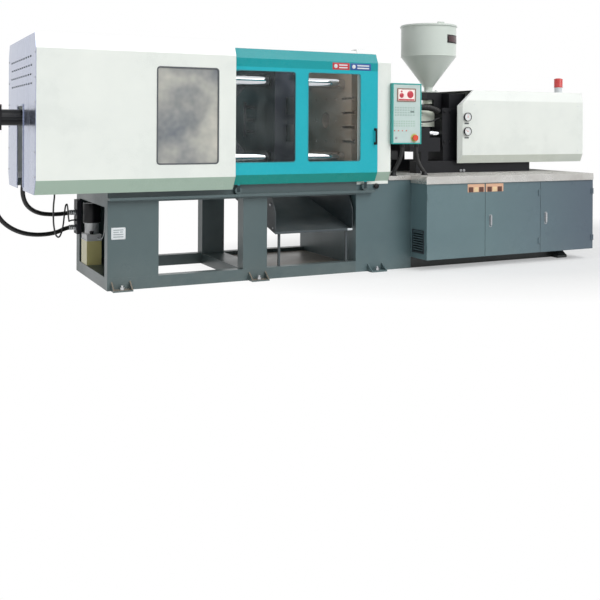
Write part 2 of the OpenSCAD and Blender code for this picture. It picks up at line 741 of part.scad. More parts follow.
// Flat cover over the toggle side
module clamp_guard_top() color("white") {
  y = guard_face_y + high_bevel + 60;
  difference() {
    block(guard_left_x + guard_t, guard_right_x, y, -y, guard_top_z, guard_top_z + guard_t);
    for (i = [0:7]) block(guard_left_x + 260 + i * 130, guard_left_x + 320 + i * 130,
      -260, 260, guard_top_z - 1, guard_top_z + guard_t + 1);
  }
}

module guard_window() color("gray", 0.5)
  block(guard_window_right_x - guard_window_w - 20, guard_window_right_x + 20,
    guard_face_y + guard_t, guard_face_y + guard_t + pane_t, window_low_z - 20,
    window_high_z + 20);

// Polished end sheet with vent slots, a tall cylinder slot and folded side lips
module end_cover() color("lightsteelblue") {
  y0 = guard_face_y;
  slot_y0 = -126;
  slot_y1 = 183;
  slot_top_z = 1560;
  difference() {
    along_x(guard_left_x, guard_left_x + guard_t, [[y0 + low_bevel, guard_bottom_z],
      [y0, guard_low_z], [y0, guard_high_z], [y0 + high_bevel, guard_top_z + guard_t],
      [-y0 - high_bevel, guard_top_z + guard_t], [-y0, guard_high_z], [-y0, guard_low_z],
      [-y0 - low_bevel, guard_bottom_z]]);
    block(guard_left_x - 1, guard_left_x + guard_t + 1, slot_y0, slot_y1,
      guard_bottom_z - 1, slot_top_z);
    for (row = [0:3], col = [0:9]) block(guard_left_x - 1, guard_left_x + guard_t + 1,
      -560 + col * 115 + (row % 2) * 30, -490 + col * 115 + (row % 2) * 30,
      1730 + row * 75, 1745 + row * 75);
  }
}

// Bottom rails for the door rollers and top guides hung from the guards, front and rear
module door_rails() color("slategray") both_sides() {
  block(bed_left_x, door_right_x, -bed_y - rail_bottom_w, -bed_y, rail_top_z - rail_bottom_h,
    rail_top_z);
  block(guard_left_x + top_rail_in, fixed_guard_left_x + 40, -bed_y - 28, -bed_y - 8,
    top_rail_z, top_rail_z + top_rail_h);
  for (x = [guard_left_x + top_rail_in, guard_right_x - 40, fixed_guard_left_x + 10])
    block(x, x + 30, -bed_y - 15, -bed_y - 8, top_rail_z + top_rail_h - 1, guard_top_z - guard_t);
}

// Right-hand guard panels with a return towards the platen
module fixed_guards() color("white") both_sides() {
  y = fixed_guard_face_y;
  along_x(fixed_guard_left_x, fixed_guard_right_x, guard_outline(y, door_bottom_z,
    door_low_z, guard_high_z, guard_top_z, fixed_guard_out - guard_t, 30, 100, guard_t));
  block(fixed_guard_left_x + 20, fixed_guard_right_x, -bed_y - guard_t, -bed_y,
    door_bottom_z - 30, door_bottom_z);
  along_x(fixed_guard_right_x - guard_t, fixed_guard_right_x, [[-bed_y - guard_t + 1,
    door_bottom_z], [y + 1, door_low_z], [y + 1, guard_high_z], [y + 31, guard_top_z],
    [-440, guard_top_z], [-440, deck_top_z + 5], [-bed_y, deck_top_z + 5]]);
}

module door_skin() along_x(door_left_x, door_right_x, guard_outline(door_face_y, door_bottom_z,
  door_low_z, door_high_z, door_top_z, door_low_bevel, door_high_bevel, door_flange, guard_t));

// Folded door skin with hangers for the two rollers and two top guides
module door_shell() {
  door_skin();
  for (x = [door_left_x + roller_in, door_right_x - roller_in]) {
    block(x - hanger_half, x + hanger_half, door_face_y + door_low_bevel + 1, roller_y - roller_t / 2 - 1,
      roller_z - 12, door_bottom_z + guard_t);
    rod_y(roller_y - roller_t / 2 - 2, roller_y + roller_t / 2, 2 * roller_axle_r, x, roller_z);
  }
  for (x = [door_left_x + roller_in, door_right_x - 400])
    block(x - 25, x + 25, -bed_y - 48.5, -bed_y - 29.5, top_rail_z + 5, door_top_z - 2);
}

module safety_door() color("darkturquoise") difference() {
  door_shell();
  window_cut(pane_left_x, pane_left_x + pane_left_w, window_low_z, window_high_z, window_r,
    door_face_y - 1, door_face_y + guard_t + 1);
  window_cut(pane_right_x - pane_right_w, pane_right_x, window_low_z, window_high_z, window_r,
    door_face_y - 1, door_face_y + guard_t + 1);
}

module door_panes() color("lightcyan", 0.3) {
  y = door_face_y + guard_t;
  block(pane_left_x - 20, pane_left_x + pane_left_w + 20, y, y + pane_t, window_low_z - 20,
    window_high_z + 20);
  block(pane_right_x - pane_right_w - 20, pane_right_x + 20, y, y + pane_t, window_low_z - 20,
    window_high_z + 20);
}

// Bow handle on the right-hand stile
module door_handle() color("black") {
  x = door_right_x - 29;
  z = 1227;
  stand = 26;
  grip_d = 18;
  for (h = [z + 10, z + handle_h - 10])
    rod_y(door_face_y - stand, door_face_y, grip_d - 4, x, h);
  translate([x, door_face_y - stand, z]) cylinder(d = grip_d, h = handle_h);
}

module door_roller(x) color("silver") difference() {
  rod_y(roller_y - roller_t / 2, roller_y + roller_t / 2, 2 * (roller_r - face_gap), x, roller_z);
  rod_y(roller_y - roller_t, roller_y + roller_t, 2 * (roller_axle_r + run_gap), x, roller_z);
}

module door_roller_left() door_roller(door_left_x + roller_in);
module door_roller_right() door_roller(door_right_x - roller_in);

module rear_door() color("darkturquoise") mirror([0, 1, 0]) {
  door_skin();
  for (x = [door_left_x + roller_in, door_right_x - roller_in])
    block(x - hanger_half, x + hanger_half, door_face_y + door_low_bevel + 1, -bed_y - 10,
      rail_top_z + face_gap, door_bottom_z + guard_t);
  x = door_right_x - 29;
  for (h = [1237, 1371]) rod_y(door_face_y - 26, door_face_y + 1, 14, x, h);
  translate([x, door_face_y - 26, 1227]) cylinder(d = 18, h = handle_h);
}

// Cabinet, deck and panel

// Open-fronted box with two posts behind the door joints
module cabinet_body() color("slategray") difference() {
  block(cabinet_left_x, cabinet_right_x, cabinet_front_y + 20, -bed_y, cabinet_bottom_z,
    cabinet_top_z);
  for (span = [[cabinet_left_x + sheet_t, cabinet_split_a - 20], [cabinet_split_a + 20,
    cabinet_split_b - 20], [cabinet_split_b + 20, cabinet_right_x - sheet_t]])
    block(span[0], span[1], cabinet_front_y + 19, -bed_y - sheet_t,
      cabinet_bottom_z + sheet_t, cabinet_top_z - sheet_t);
  for (i = [0:7]) block(cabinet_left_x - 1, cabinet_left_x + sheet_t + 1, -bed_y - 215,
    -bed_y - 45, 180 + i * 24, 190 + i * 24);
}

// A door with folded edges and, on its hinge side, two leaves with knuckles
module cabinet_door(x0, x1, hinge_x, inward) {
  depth = 20 - face_gap;
  difference() {
    block(x0, x1, cabinet_front_y, cabinet_front_y + depth, cabinet_bottom_z, cabinet_top_z - 2);
    block(x0 + sheet_t, x1 - sheet_t, cabinet_front_y + sheet_t, cabinet_front_y + depth + 1,
      cabinet_bottom_z + sheet_t, cabinet_top_z - 2 - sheet_t);
  }
  for (z = [cabinet_bottom_z + 90, cabinet_top_z - 150]) {
    translate([hinge_x, hinge_y, z]) cylinder(r = hinge_r, h = hinge_h);
    block(min(hinge_x, hinge_x + inward), max(hinge_x, hinge_x + inward), hinge_y - 1.5,
      cabinet_front_y, z, z + hinge_h);
  }
}

// Paddle latch, proud of its door on a short spindle
module latch(x) color("silver") {
  block(x - latch_w / 2, x + latch_w / 2, cabinet_front_y - 14, cabinet_front_y - face_gap,
    latch_z - latch_len, latch_z + latch_w / 2);
  rod_y(cabinet_front_y - 1, cabinet_front_y + 3, 12, x, latch_z);
}

// Spindle hole of a latch
module latch_hole(x) rod_y(cabinet_front_y - 1, cabinet_front_y + sheet_t + 1,
  12 + 2 * run_gap, x, latch_z);

module cabinet_door_left() color("slategray")
  cabinet_door(cabinet_left_x, cabinet_split_a - door_gap / 2, cabinet_left_x + 2, 25);
module cabinet_door_middle() color("slategray") difference() {
  cabinet_door(cabinet_split_a + door_gap / 2, cabinet_split_b - door_gap / 2,
    cabinet_split_b - door_gap / 2 - 2, -25);
  latch_hole(latch_middle_x);
}
module cabinet_door_right() color("slategray") difference() {
  cabinet_door(cabinet_split_b + door_gap / 2, cabinet_right_x, cabinet_right_x - 2, -25);
  latch_hole(latch_right_x);
}
module latch_middle() latch(latch_middle_x);
module latch_right() latch(latch_right_x);

// Checker plate with a folded front skirt, stepped forward over the cabinet
module deck_plate() color("lightgray") {
  y_front = cabinet_front_y - deck_lip;
  x_step = cabinet_left_x - 13;
  x_end = cabinet_right_x - 6;
  y_back = -bed_y - 10;
  fold = 60;
  block(deck_left_x, x_end, y_back, bed_y, bed_top_z, deck_top_z);
  block(x_step, x_end, y_front, y_back + 5, bed_top_z, deck_top_z);
  block(x_step, x_end, y_front, y_front + deck_t, cabinet_top_z, bed_top_z);
  block(x_step, x_end, y_front + deck_t, y_front + fold, cabinet_top_z, cabinet_top_z + deck_t);
  block(x_step, x_step + deck_t, y_front, y_back, cabinet_top_z, bed_top_z);
  block(deck_left_x, x_step + deck_t, y_back, y_back + deck_t, cabinet_top_z + 30, bed_top_z);
}

// Panel housing with a frame round its front, hung on the fixed guard by a bracket
module control_panel() color("darkturquoise") {
  rim = 12;
  difference() {
    block(panel_left_x, panel_left_x + panel_w, panel_front_y, panel_front_y + panel_d,
      panel_bottom_z, panel_bottom_z + panel_h);
    block(panel_left_x + rim, panel_left_x + panel_w - rim, panel_front_y - 1, panel_front_y + 6,
      panel_bottom_z + rim, panel_bottom_z + panel_h - rim);
    rod_y(panel_front_y, panel_front_y + 40, 2 * (12 + run_gap), panel_left_x + panel_w - 80,
      panel_bottom_z + 60);
  }
  block(fixed_guard_right_x, fixed_guard_right_x + 50, panel_front_y + panel_d - 1,
    fixed_guard_face_y + 16, panel_bottom_z + 80, panel_bottom_z + panel_h - 80);
}

// Mushroom button on a stem
module estop_button() color("orangered") {
  x = panel_left_x + panel_w - 80;
  z = panel_bottom_z + 60;
  rod_y(panel_front_y - 26, panel_front_y - 8, estop_d, x, z);
  rod_y(panel_front_y - 9, panel_front_y + 30, 24, x, z);
}

// Lubrication pump with its motor, on the tank in the left pedestal
module lubricator() color("lightgray") {
  x = bed_left_x + 75;
  y = lubricator_y;
  z = base_rail_h + 222;
  block(x - 70, x + 65, y - 110, y + 110, z, z + 60);
  translate([x, y, z + 59]) cylinder(d = 130, h = 100);
  translate([x, y, z + 158]) cylinder(d = 160, h = 190);
}

module lubricator_tank() color("khaki", 0.7) {
  x = bed_left_x + 75;
  y = lubricator_y;
  block(x - 70, x + 65, y - 115, y + 115, base_rail_h, base_rail_h + 222);
}

// Oil manifold on the end of the bed, with a stub for each line
module hose_manifold() color("dimgray") {
  y = bed_y - 136.5;
  stub_x = bed_left_x - 52;
  block(bed_left_x - 40, bed_left_x, bed_y - 205, bed_y - 66.5, 370, 690);
  for (z = [430, 570]) rod_x(stub_x, bed_left_x - 39, hose_d + 8, y, z);
  rod_x(stub_x, bed_left_x - 39, cable_d + 6, y - 30, 500);
}

module hose_upper() color("black") cord(upper_route, hose_d, 10, [0, 1, 0]);
module hose_lower() color("black") cord(lower_route, hose_d, 10, [0, 1, 0]);
module cable_loop() color("black") cord(cable_route, cable_d, 8, [0, 1, 0]);
module conduit_left() color("black") cord(conduit_left_route, hose_d, 10, [0, 1, 0]);
module conduit_right() color("black") cord(conduit_right_route, hose_d, 10, [0, 1, 0]);

// Injection unit

// Rails on the deck, a rear plate with a cross member, and two heads on legs for the guide rods
module injection_base() color("black") difference() {
  union() {
    both_sides() {
      block(base_left_x - 20, base_right_x, -300, -180, deck_top_z, base_top_z);
      block(base_left_x + 40, base_left_x + 130, -300, -150, deck_top_z, slab_bottom_z + 1);
      block(slab_left_x, slab_right_x, -300, -150, slab_bottom_z, slab_top_z);
      block(slab_left_x, base_left_x + support_len, -300, -130, slab_bottom_z, rod_z + 60);
    }
    block(slab_right_x - 40, base_right_x, -300, 300, deck_top_z, deck_top_z + 40);
    block(base_right_x - 500, base_right_x - 400, -300, 300, deck_top_z, base_top_z);
  }
  both_sides() rod_x(slab_left_x - 1, base_left_x + support_len + 1, rail_d + 2 * run_gap,
    -rail_y, rod_z);
}

module guide_rods() color("silver")
  both_sides() rod_x(fixed_face_x + fixed_t, rods_right_x, rail_d, -rail_y, rod_z);

// Front housing on the guide rods, with feed throat, slide plate and injection cylinders
module injection_carriage() color("black") difference() {
  sleeve_d = barrel_d + 40;
  union() {
    block(carriage_left_x, carriage_right_x, -250, 250, arch_z, axis_z + 140);
    block(carriage_left_x + 10, carriage_left_x + 200, -250, 250, slide_bottom_z, arch_z + 1);
    block(carriage_left_x + 10, slide_left_x + 1, -250, 250, slide_bottom_z,
      slide_bottom_z + slide_t);
    block(slide_left_x, base_right_x - 40, -slide_half, slide_half,
      slide_bottom_z, slide_bottom_z + slide_t);
    block(cover_left_x - 4, cover_left_x + 206, -200, 200, axis_z + 139, axis_z + 302);
    both_sides() rod_x(carriage_right_x - 1, cylinder_end_x, 150, -150, axis_z);
    rod_x(hopper_x - 60, carriage_left_x + 1, sleeve_d, 0, axis_z);
    translate([hopper_x, 0, axis_z]) cylinder(d = 100, h = 231);
    block(hopper_x - 75, carriage_left_x + 60, -90, 90, axis_z + 230, hopper_bottom_z);
    block(carriage_left_x, carriage_left_x + 100, -90, 90, axis_z + 139, hopper_bottom_z);
  }
  both_sides() rod_x(carriage_left_x - 1, carriage_right_x + 1, rail_d + 2 * run_gap,
    -rail_y, rod_z);
  rod_x(hopper_x - 61, carriage_right_x + 1, barrel_d + 2 * run_gap, 0, axis_z);
  both_sides() rod_x(cylinder_end_x - 280, cylinder_end_x + 1, ram_d + 2 * run_gap, -150, axis_z);
  translate([hopper_x, 0, axis_z]) cylinder(d = 80, h = 400);
}

// Thrust plate with two ram rods and the hydraulic motor that turns the screw
module drive_unit() color("dimgray") difference() {
  union() {
    block(drive_x, drive_x + 90, -240, 240, rod_z + rail_d / 2 + 5, axis_z + 140);
    both_sides() rod_x(cylinder_end_x - 60, drive_x + 1, ram_d, -150, axis_z);
    rod_x(drive_x + 89, drive_x + 340, 220, 0, axis_z);
  }
  rod_x(drive_x - 1, drive_x + 62, screw_d + 2 * run_gap, 0, axis_z);
}

// Plasticising barrel with nozzle and heater bands, bored for the screw
module barrel() color("gray") difference() {
  union() {
    rod_x(nozzle_tip_x + 130, carriage_right_x - 20, barrel_d, 0, axis_z);
    translate([nozzle_tip_x + 60, 0, axis_z]) rotate([0, 90, 0])
      cylinder(d1 = 50, d2 = barrel_d, h = 71);
    translate([nozzle_tip_x, 0, axis_z]) rotate([0, 90, 0]) cylinder(d1 = 26, d2 = 50, h = 61);
    for (i = [0:5]) rod_x(nozzle_tip_x + 180 + i * 130, nozzle_tip_x + 280 + i * 130,
      barrel_d + 20, 0, axis_z);
  }
  rod_x(nozzle_tip_x + 120, carriage_right_x, screw_d + 2 * run_gap, 0, axis_z);
  rod_x(nozzle_tip_x - 1, nozzle_tip_x + 121, 8, 0, axis_z);
  translate([hopper_x, 0, axis_z]) cylinder(d = 60, h = barrel_d);
}

// Screw with a drive shank
module screw() color("silver") {
  pitch = 60;
  start_x = nozzle_tip_x + 150;
  root_d = screw_d - 16;
  rod_x(start_x, drive_x + 60, root_d, 0, axis_z);
  for (x = [start_x + 10:pitch:carriage_right_x - 120])
    rod_x(x, x + 12, screw_d, 0, axis_z);
  rod_x(carriage_right_x - 60, drive_x + 60, screw_d, 0, axis_z);
}

// Sheet guard over the heated barrel
module barrel_guard() color("beige") difference() {
  w = 105;
  t = 3;
  x1 = carriage_left_x;
  x0 = fixed_face_x + fixed_t + 120;
  along_x(x0, x1, [[-w, axis_z - 60], [-w, axis_z + 80], [-w + 40, axis_z + 115],
    [w - 40, axis_z + 115], [w, axis_z + 80], [w, axis_z - 60], [w - t, axis_z - 60],
    [w - t, axis_z + 79], [w - 41, axis_z + 112], [-w + 41, axis_z + 112],
    [-w + t, axis_z + 79], [-w + t, axis_z - 60]]);
  translate([hopper_x, 0, axis_z + 90]) cylinder(d = 110, h = 40);
}

// Spun hopper shell with a bolted foot and two lugs with the pin of the lid
module hopper() color("gainsboro") {
  foot_t = 12;
  foot_w = 150;
  bolt_in = 58;
  lug_y = hopper_r - hopper_t - 0.5;
  z1 = hopper_bottom_z + 50;
  z2 = hopper_top_z - hopper_straight;
  translate([hopper_x, 0, 0]) {
    rotate_extrude() polygon([[hopper_neck_r - hopper_t, hopper_bottom_z],
      [hopper_neck_r, hopper_bottom_z], [hopper_neck_r, z1], [hopper_r, z2],
      [hopper_r, hopper_top_z - 10], [hopper_r + 6, hopper_top_z - 10],
      [hopper_r + 6, hopper_top_z - 4], [hopper_r - hopper_t, hopper_top_z - 4],
      [hopper_r - hopper_t, z2 + 2], [hopper_neck_r - hopper_t, z1 + 2]]);
    difference() {
      translate([-foot_w / 2, -foot_w / 2, hopper_bottom_z]) cube([foot_w, foot_w, foot_t]);
      translate([0, 0, hopper_bottom_z - 1]) cylinder(r = hopper_neck_r - hopper_t, h = foot_t + 2);
      for (x = [-bolt_in, bolt_in], y = [-bolt_in, bolt_in])
        translate([x, y, hopper_bottom_z - 1]) cylinder(d = 13, h = foot_t + 2);
    }
    for (x = [-43, 31]) along_x(x, x + 12, [[lug_y, hopper_top_z - 40],
      [lid_pin_y + 8, hopper_top_z - 14], [lid_pin_y + 8, hopper_top_z + 6],
      [lid_pin_y - 8, hopper_top_z + 6], [lid_pin_y - 8, hopper_top_z - 12],
      [lug_y, hopper_top_z - 12]]);
    rod_x(-43, 43, lid_pin_d, lid_pin_y, lid_pin_z);
  }
}

// Sheet lid that turns on the pin at its rear edge
module hopper_lid() color("gainsboro") translate([hopper_x, 0, 0]) {
  difference() {
    union() {
      translate([0, 0, hopper_top_z - 4 + face_gap]) cylinder(r = hopper_r + 5, h = 4 - face_gap);
      block(-29, 29, hopper_r - 10, lid_pin_y, hopper_top_z - 4 + face_gap, hopper_top_z);
      rod_x(-30, 30, 2 * lid_pin_d, lid_pin_y, lid_pin_z);
    }
    rod_x(-31, 31, lid_pin_d + 2 * run_gap, lid_pin_y, lid_pin_z);
  }
  translate([-40, -hopper_r + 60, hopper_top_z - 1]) cube([80, 14, 26]);
}

// Injection cover: a bevelled tube cut with chamfers at its open left end
module cover_form(g) {
  w = cover_w / 2 - g;
  z0 = cover_bottom_z - (g > 0 ? 1 : 0);
  z1 = cover_top_z - g;
  x0 = cover_left_x + g;
  x1 = cover_left_x + cover_len - g;
  side_bevel = cover_side_bevel;
  end_run = 195;
  end_drop = 170;
  low = cover_low;
  high = 110;
  inset_low = cover_low_inset;
  inset_high = 24;
  intersection() {
    along_x(x0, x1, [[-w + inset_low, z0], [-w, z0 + low], [-w, z1 - high],
      [-w + inset_high, z1], [w - inset_high, z1], [w, z1 - high], [w, z0 + low],
      [w - inset_low, z0]]);
    translate([0, 0, z0 - 1]) linear_extrude(height = z1 - z0 + 2) polygon([
      [x0 + side_bevel, -w - 1], [x1, -w - 1], [x1, w + 1], [x0 + side_bevel, w + 1],
      [x0, w - side_bevel], [x0, -w + side_bevel]]);
    translate([0, w + 2, 0]) rotate([90, 0, 0]) linear_extrude(height = 2 * w + 4) polygon([
      [x0, z0 - 1], [x1, z0 - 1], [x1, z1], [x0 + end_run, z1], [x0, z1 - end_drop]]);
  }
}

module injection_cover() color("white") difference() {
  cover_form(0);
  cover_form(cover_t);
  block(cover_left_x - 1, cover_left_x + 200, -340, 340, cover_bottom_z - 1, cover_top_z + 1);
}

// Signal lamp on its base near the right end of the cover
module signal_lamp() color("red") {
  x = cover_left_x + cover_len - 185;
  translate([x, -190, cover_top_z]) cylinder(d = lamp_d - 6, h = 40);
  translate([x, -190, cover_top_z + 40]) cylinder(d = lamp_d, h = lamp_h - 40);
}

// Two dial gauges on the front face of the cover
module pressure_gauges() color("white")
  for (z = [axis_z - 106, axis_z + 45])
    rod_y(-cover_w / 2 - 22, -cover_w / 2, gauge_d, cover_left_x + 92, z);

base_frame();
pedestals();
bed_beams();
bed_block();
injection_bed();
product_chute();
fixed_platen();
rear_platen();
tie_bars();
tie_bar_nuts();
closing_cylinder();
clamp_guard_front();
clamp_guard_rear();
clamp_guard_top();
guard_window();
end_cover();
door_rails();
fixed_guards();
cabinet_body();
deck_plate();
injection_base();
guide_rods();
control_panel();
lubricator();
lubricator_tank();
hose_manifold();
hose_upper();
hose_lower();
cable_loop();
conduit_left();
conduit_right();
moving_platen();
rear_links_upper();
rear_links_lower();
front_links_upper();
front_links_lower();
crosshead();
ejector();
safety_door();
door_panes();
door_handle();
door_roller_left();
door_roller_right();
rear_door();
cabinet_door_left();
cabinet_door_middle();
cabinet_door_right();
latch_middle();
latch_right();
estop_button();
injection_carriage();
drive_unit();
barrel();
screw();
barrel_guard();
hopper();
hopper_lid();
injection_cover();
pressure_gauges();
signal_lamp();
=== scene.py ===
"""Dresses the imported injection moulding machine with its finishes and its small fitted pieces."""

import logging
import math
from dataclasses import dataclass, field, replace
from enum import Enum

import bmesh
import bpy
from mathutils import Euler, Matrix, Vector


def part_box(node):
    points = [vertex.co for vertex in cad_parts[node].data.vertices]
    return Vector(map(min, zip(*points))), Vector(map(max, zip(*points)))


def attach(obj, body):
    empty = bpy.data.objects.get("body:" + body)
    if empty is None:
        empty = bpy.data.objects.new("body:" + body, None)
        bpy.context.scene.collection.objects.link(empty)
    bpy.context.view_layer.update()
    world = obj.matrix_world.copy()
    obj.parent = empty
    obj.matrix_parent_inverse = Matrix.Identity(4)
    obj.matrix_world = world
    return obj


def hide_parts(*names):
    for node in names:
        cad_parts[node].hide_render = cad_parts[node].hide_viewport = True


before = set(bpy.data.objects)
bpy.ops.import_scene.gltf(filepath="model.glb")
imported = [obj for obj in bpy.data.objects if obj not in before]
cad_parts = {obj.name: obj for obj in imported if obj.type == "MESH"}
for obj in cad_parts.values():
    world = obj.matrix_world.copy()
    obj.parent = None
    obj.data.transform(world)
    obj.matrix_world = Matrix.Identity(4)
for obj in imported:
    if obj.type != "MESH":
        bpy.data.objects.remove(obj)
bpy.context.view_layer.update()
log = logging.getLogger("machine")
SMOOTH_ANGLE = 0.7

Point = tuple[float, float, float]
Tint = tuple[int, int, int]
Socket = bpy.types.NodeSocket
Piece = bpy.types.Object


def linear(tint: Tint) -> tuple[float, float, float, float]:
    """Turns a screen colour into the linear colour that a shader takes.

    Args:
        tint: red, green and blue from 0 to 255.

    Returns:
        The linear colour with full alpha.
    """
    parts = [c / 255 for c in tint]
    return tuple(c / 12.92 if c <= 0.04045 else ((c + 0.055) / 1.055) ** 2.4 for c in parts) + (1.0,)


class Facing(Enum):
    """The way a flat piece looks, as the turn that brings +Z there."""

    FRONT = (math.pi / 2, 0.0, 0.0)
    LEFT = (0.0, -math.pi / 2, 0.0)
    RIGHT = (0.0, math.pi / 2, 0.0)
    UP = (0.0, 0.0, 0.0)

    def normal(self) -> Vector:
        """Returns the direction the piece looks in."""
        return Euler(self.value).to_matrix() @ Vector((0, 0, 1))


class Grain(Enum):
    """The direction of a brushed or ground grain, as the stretch of its noise."""

    EVEN = (1.0, 1.0, 1.0)
    ALONG_X = (0.03, 1.0, 1.0)
    ALONG_Z = (1.0, 1.0, 0.03)


class Wiring:
    """Adds and links the nodes of one node tree."""

    def __init__(self, tree: bpy.types.NodeTree) -> None:
        """Keeps the tree."""
        self.tree = tree

    def add(self, kind: str, inputs: dict | None = None, **settings: object) -> bpy.types.Node:
        """Adds one node.

        Args:
            kind: the node's type without the ShaderNode prefix, or a full type name.
            inputs: socket name or index to a value or to a socket that is linked there.
            settings: attributes set on the node.

        Returns:
            The new node.
        """
        node = self.tree.nodes.new(kind if kind.startswith("Node") else "ShaderNode" + kind)
        for key, value in settings.items():
            setattr(node, key, value)
        for key, value in (inputs or {}).items():
            if isinstance(value, Socket):
                self.tree.links.new(value, node.inputs[key])
            else:
                node.inputs[key].default_value = value
        return node

    def sum(self, operation: str, a: object, b: object = 0.0, clamp: bool = False) -> Socket:
        """Adds a math node on two values or sockets and returns its output."""
        return self.add("Math", {0: a, 1: b}, operation=operation, use_clamp=clamp).outputs[0]

    def blend(self, factor: object, a: object, b: object) -> Socket:
        """Adds a colour mix and returns its output.

        Args:
            factor: the mask, 0 for the first colour and 1 for the second.
            a: the first colour, or its socket.
            b: the second colour, or its socket.

        Returns:
            The socket of the mixed colour.
        """
        node = self.add("Mix", data_type="RGBA")
        for socket, value in ((node.inputs[0], factor), (node.inputs[6], a), (node.inputs[7], b)):
            if isinstance(value, Socket):
                self.tree.links.new(value, socket)
            else:
                socket.default_value = value
        return node.outputs[2]

    def part(self, vector: Socket, axis: str) -> Socket:
        """Returns one component of a vector."""
        return self.add("SeparateXYZ", {0: vector}).outputs[axis]

    def span(self, value: object, low: float, high: float, to_low: float, to_high: float) -> Socket:
        """Maps a value from one span to another, held inside it, and returns the output."""
        return self.add("MapRange", {0: value, 1: low, 2: high, 3: to_low, 4: to_high}).outputs[0]


def new_group(name: str, takes: dict[str, float], gives: dict[str, str]) -> tuple[bpy.types.NodeTree,
        Wiring, bpy.types.Node, bpy.types.Node]:
    """Starts a shader node group.

    Args:
        name: the group's name.
        takes: number inputs and their defaults.
        gives: outputs and their socket types.

    Returns:
        The tree, its wiring, and its input and output nodes.
    """
    tree = bpy.data.node_groups.new(name, "ShaderNodeTree")
    for key, value in takes.items():
        socket = tree.interface.new_socket(key, in_out="INPUT", socket_type="NodeSocketFloat")
        socket.default_value = value
    tree.interface.new_socket("Place", in_out="INPUT", socket_type="NodeSocketVector")
    for key, kind in gives.items():
        tree.interface.new_socket(key, in_out="OUTPUT", socket_type=kind)
    wiring = Wiring(tree)
    return tree, wiring, wiring.add("NodeGroupInput"), wiring.add("NodeGroupOutput")


class SharedEffects:
    """The node groups that the finishes share."""

    def __init__(self) -> None:
        """Builds each group once."""
        self.film = self.build_film()
        self.rubbed = self.build_rubbed_edges()
        self.dust = self.build_settled_dust()

    def build_film(self) -> bpy.types.NodeTree:
        """Returns the slow cloud and fine peel of a sprayed or cast surface."""
        tree, w, given, out = new_group("surface_film", {"Cloud Scale": 1.5, "Peel Scale": 200.0},
                                        {"Cloud": "NodeSocketFloat", "Peel": "NodeSocketFloat"})
        cloud = w.add("TexNoise", {"Vector": given.outputs["Place"], "Scale": given.outputs["Cloud Scale"],
                                   "Detail": 4.0, "Roughness": 0.6})
        peel = w.add("TexNoise", {"Vector": given.outputs["Place"], "Scale": given.outputs["Peel Scale"],
                                  "Detail": 2.0, "Roughness": 0.55})
        tree.links.new(w.span(cloud.outputs[0], 0.32, 0.68, 0.0, 1.0), out.inputs["Cloud"])
        tree.links.new(peel.outputs[0], out.inputs["Peel"])
        return tree

    def build_rubbed_edges(self) -> bpy.types.NodeTree:
        """Returns a broken mask along the edges and a normal that rounds them."""
        tree, w, given, out = new_group("rubbed_edges", {"Radius": 0.003, "Amount": 0.5},
                                        {"Mask": "NodeSocketFloat", "Normal": "NodeSocketVector"})
        soft = w.add("Bevel", {"Radius": given.outputs["Radius"]}, samples=4)
        sharp = w.add("NewGeometry")
        same = w.add("VectorMath", {0: soft.outputs[0], 1: sharp.outputs["Normal"]},
                     operation="DOT_PRODUCT")
        edge = w.span(same.outputs["Value"], 0.97, 0.80, 0.0, 1.0)
        chips = w.add("TexNoise", {"Vector": given.outputs["Place"], "Scale": 45.0, "Detail": 5.0,
                                   "Roughness": 0.7})
        broken = w.span(chips.outputs[0], 0.45, 0.6, 0.0, 1.0)
        mask = w.sum("MULTIPLY", w.sum("MULTIPLY", edge, broken), given.outputs["Amount"], clamp=True)
        tree.links.new(mask, out.inputs["Mask"])
        tree.links.new(soft.outputs[0], out.inputs["Normal"])
        return tree

    def build_settled_dust(self) -> bpy.types.NodeTree:
        """Returns a mask of dust on what faces up and of grime near the floor."""
        tree, w, given, out = new_group("settled_dust", {"Amount": 0.2, "Grime Height": 0.3},
                                        {"Mask": "NodeSocketFloat"})
        up = w.part(w.add("NewGeometry").outputs["Normal"], "Z")
        flat = w.span(up, 0.55, 1.0, 0.0, 1.0)
        height = w.part(given.outputs["Place"], "Z")
        low = w.sum("SUBTRACT", 1.0, w.sum("DIVIDE", height, given.outputs["Grime Height"]), clamp=True)
        cloud = w.add("TexNoise", {"Vector": given.outputs["Place"], "Scale": 6.0, "Detail": 6.0,
                                   "Roughness": 0.7})
        both = w.sum("MAXIMUM", flat, w.sum("MULTIPLY", low, 0.8))
        speck = w.span(cloud.outputs[0], 0.35, 0.75, 0.15, 1.0)
        mask = w.sum("MULTIPLY", w.sum("MULTIPLY", both, speck), given.outputs["Amount"], clamp=True)
        tree.links.new(mask, out.inputs["Mask"])
        return tree


effects = SharedEffects()


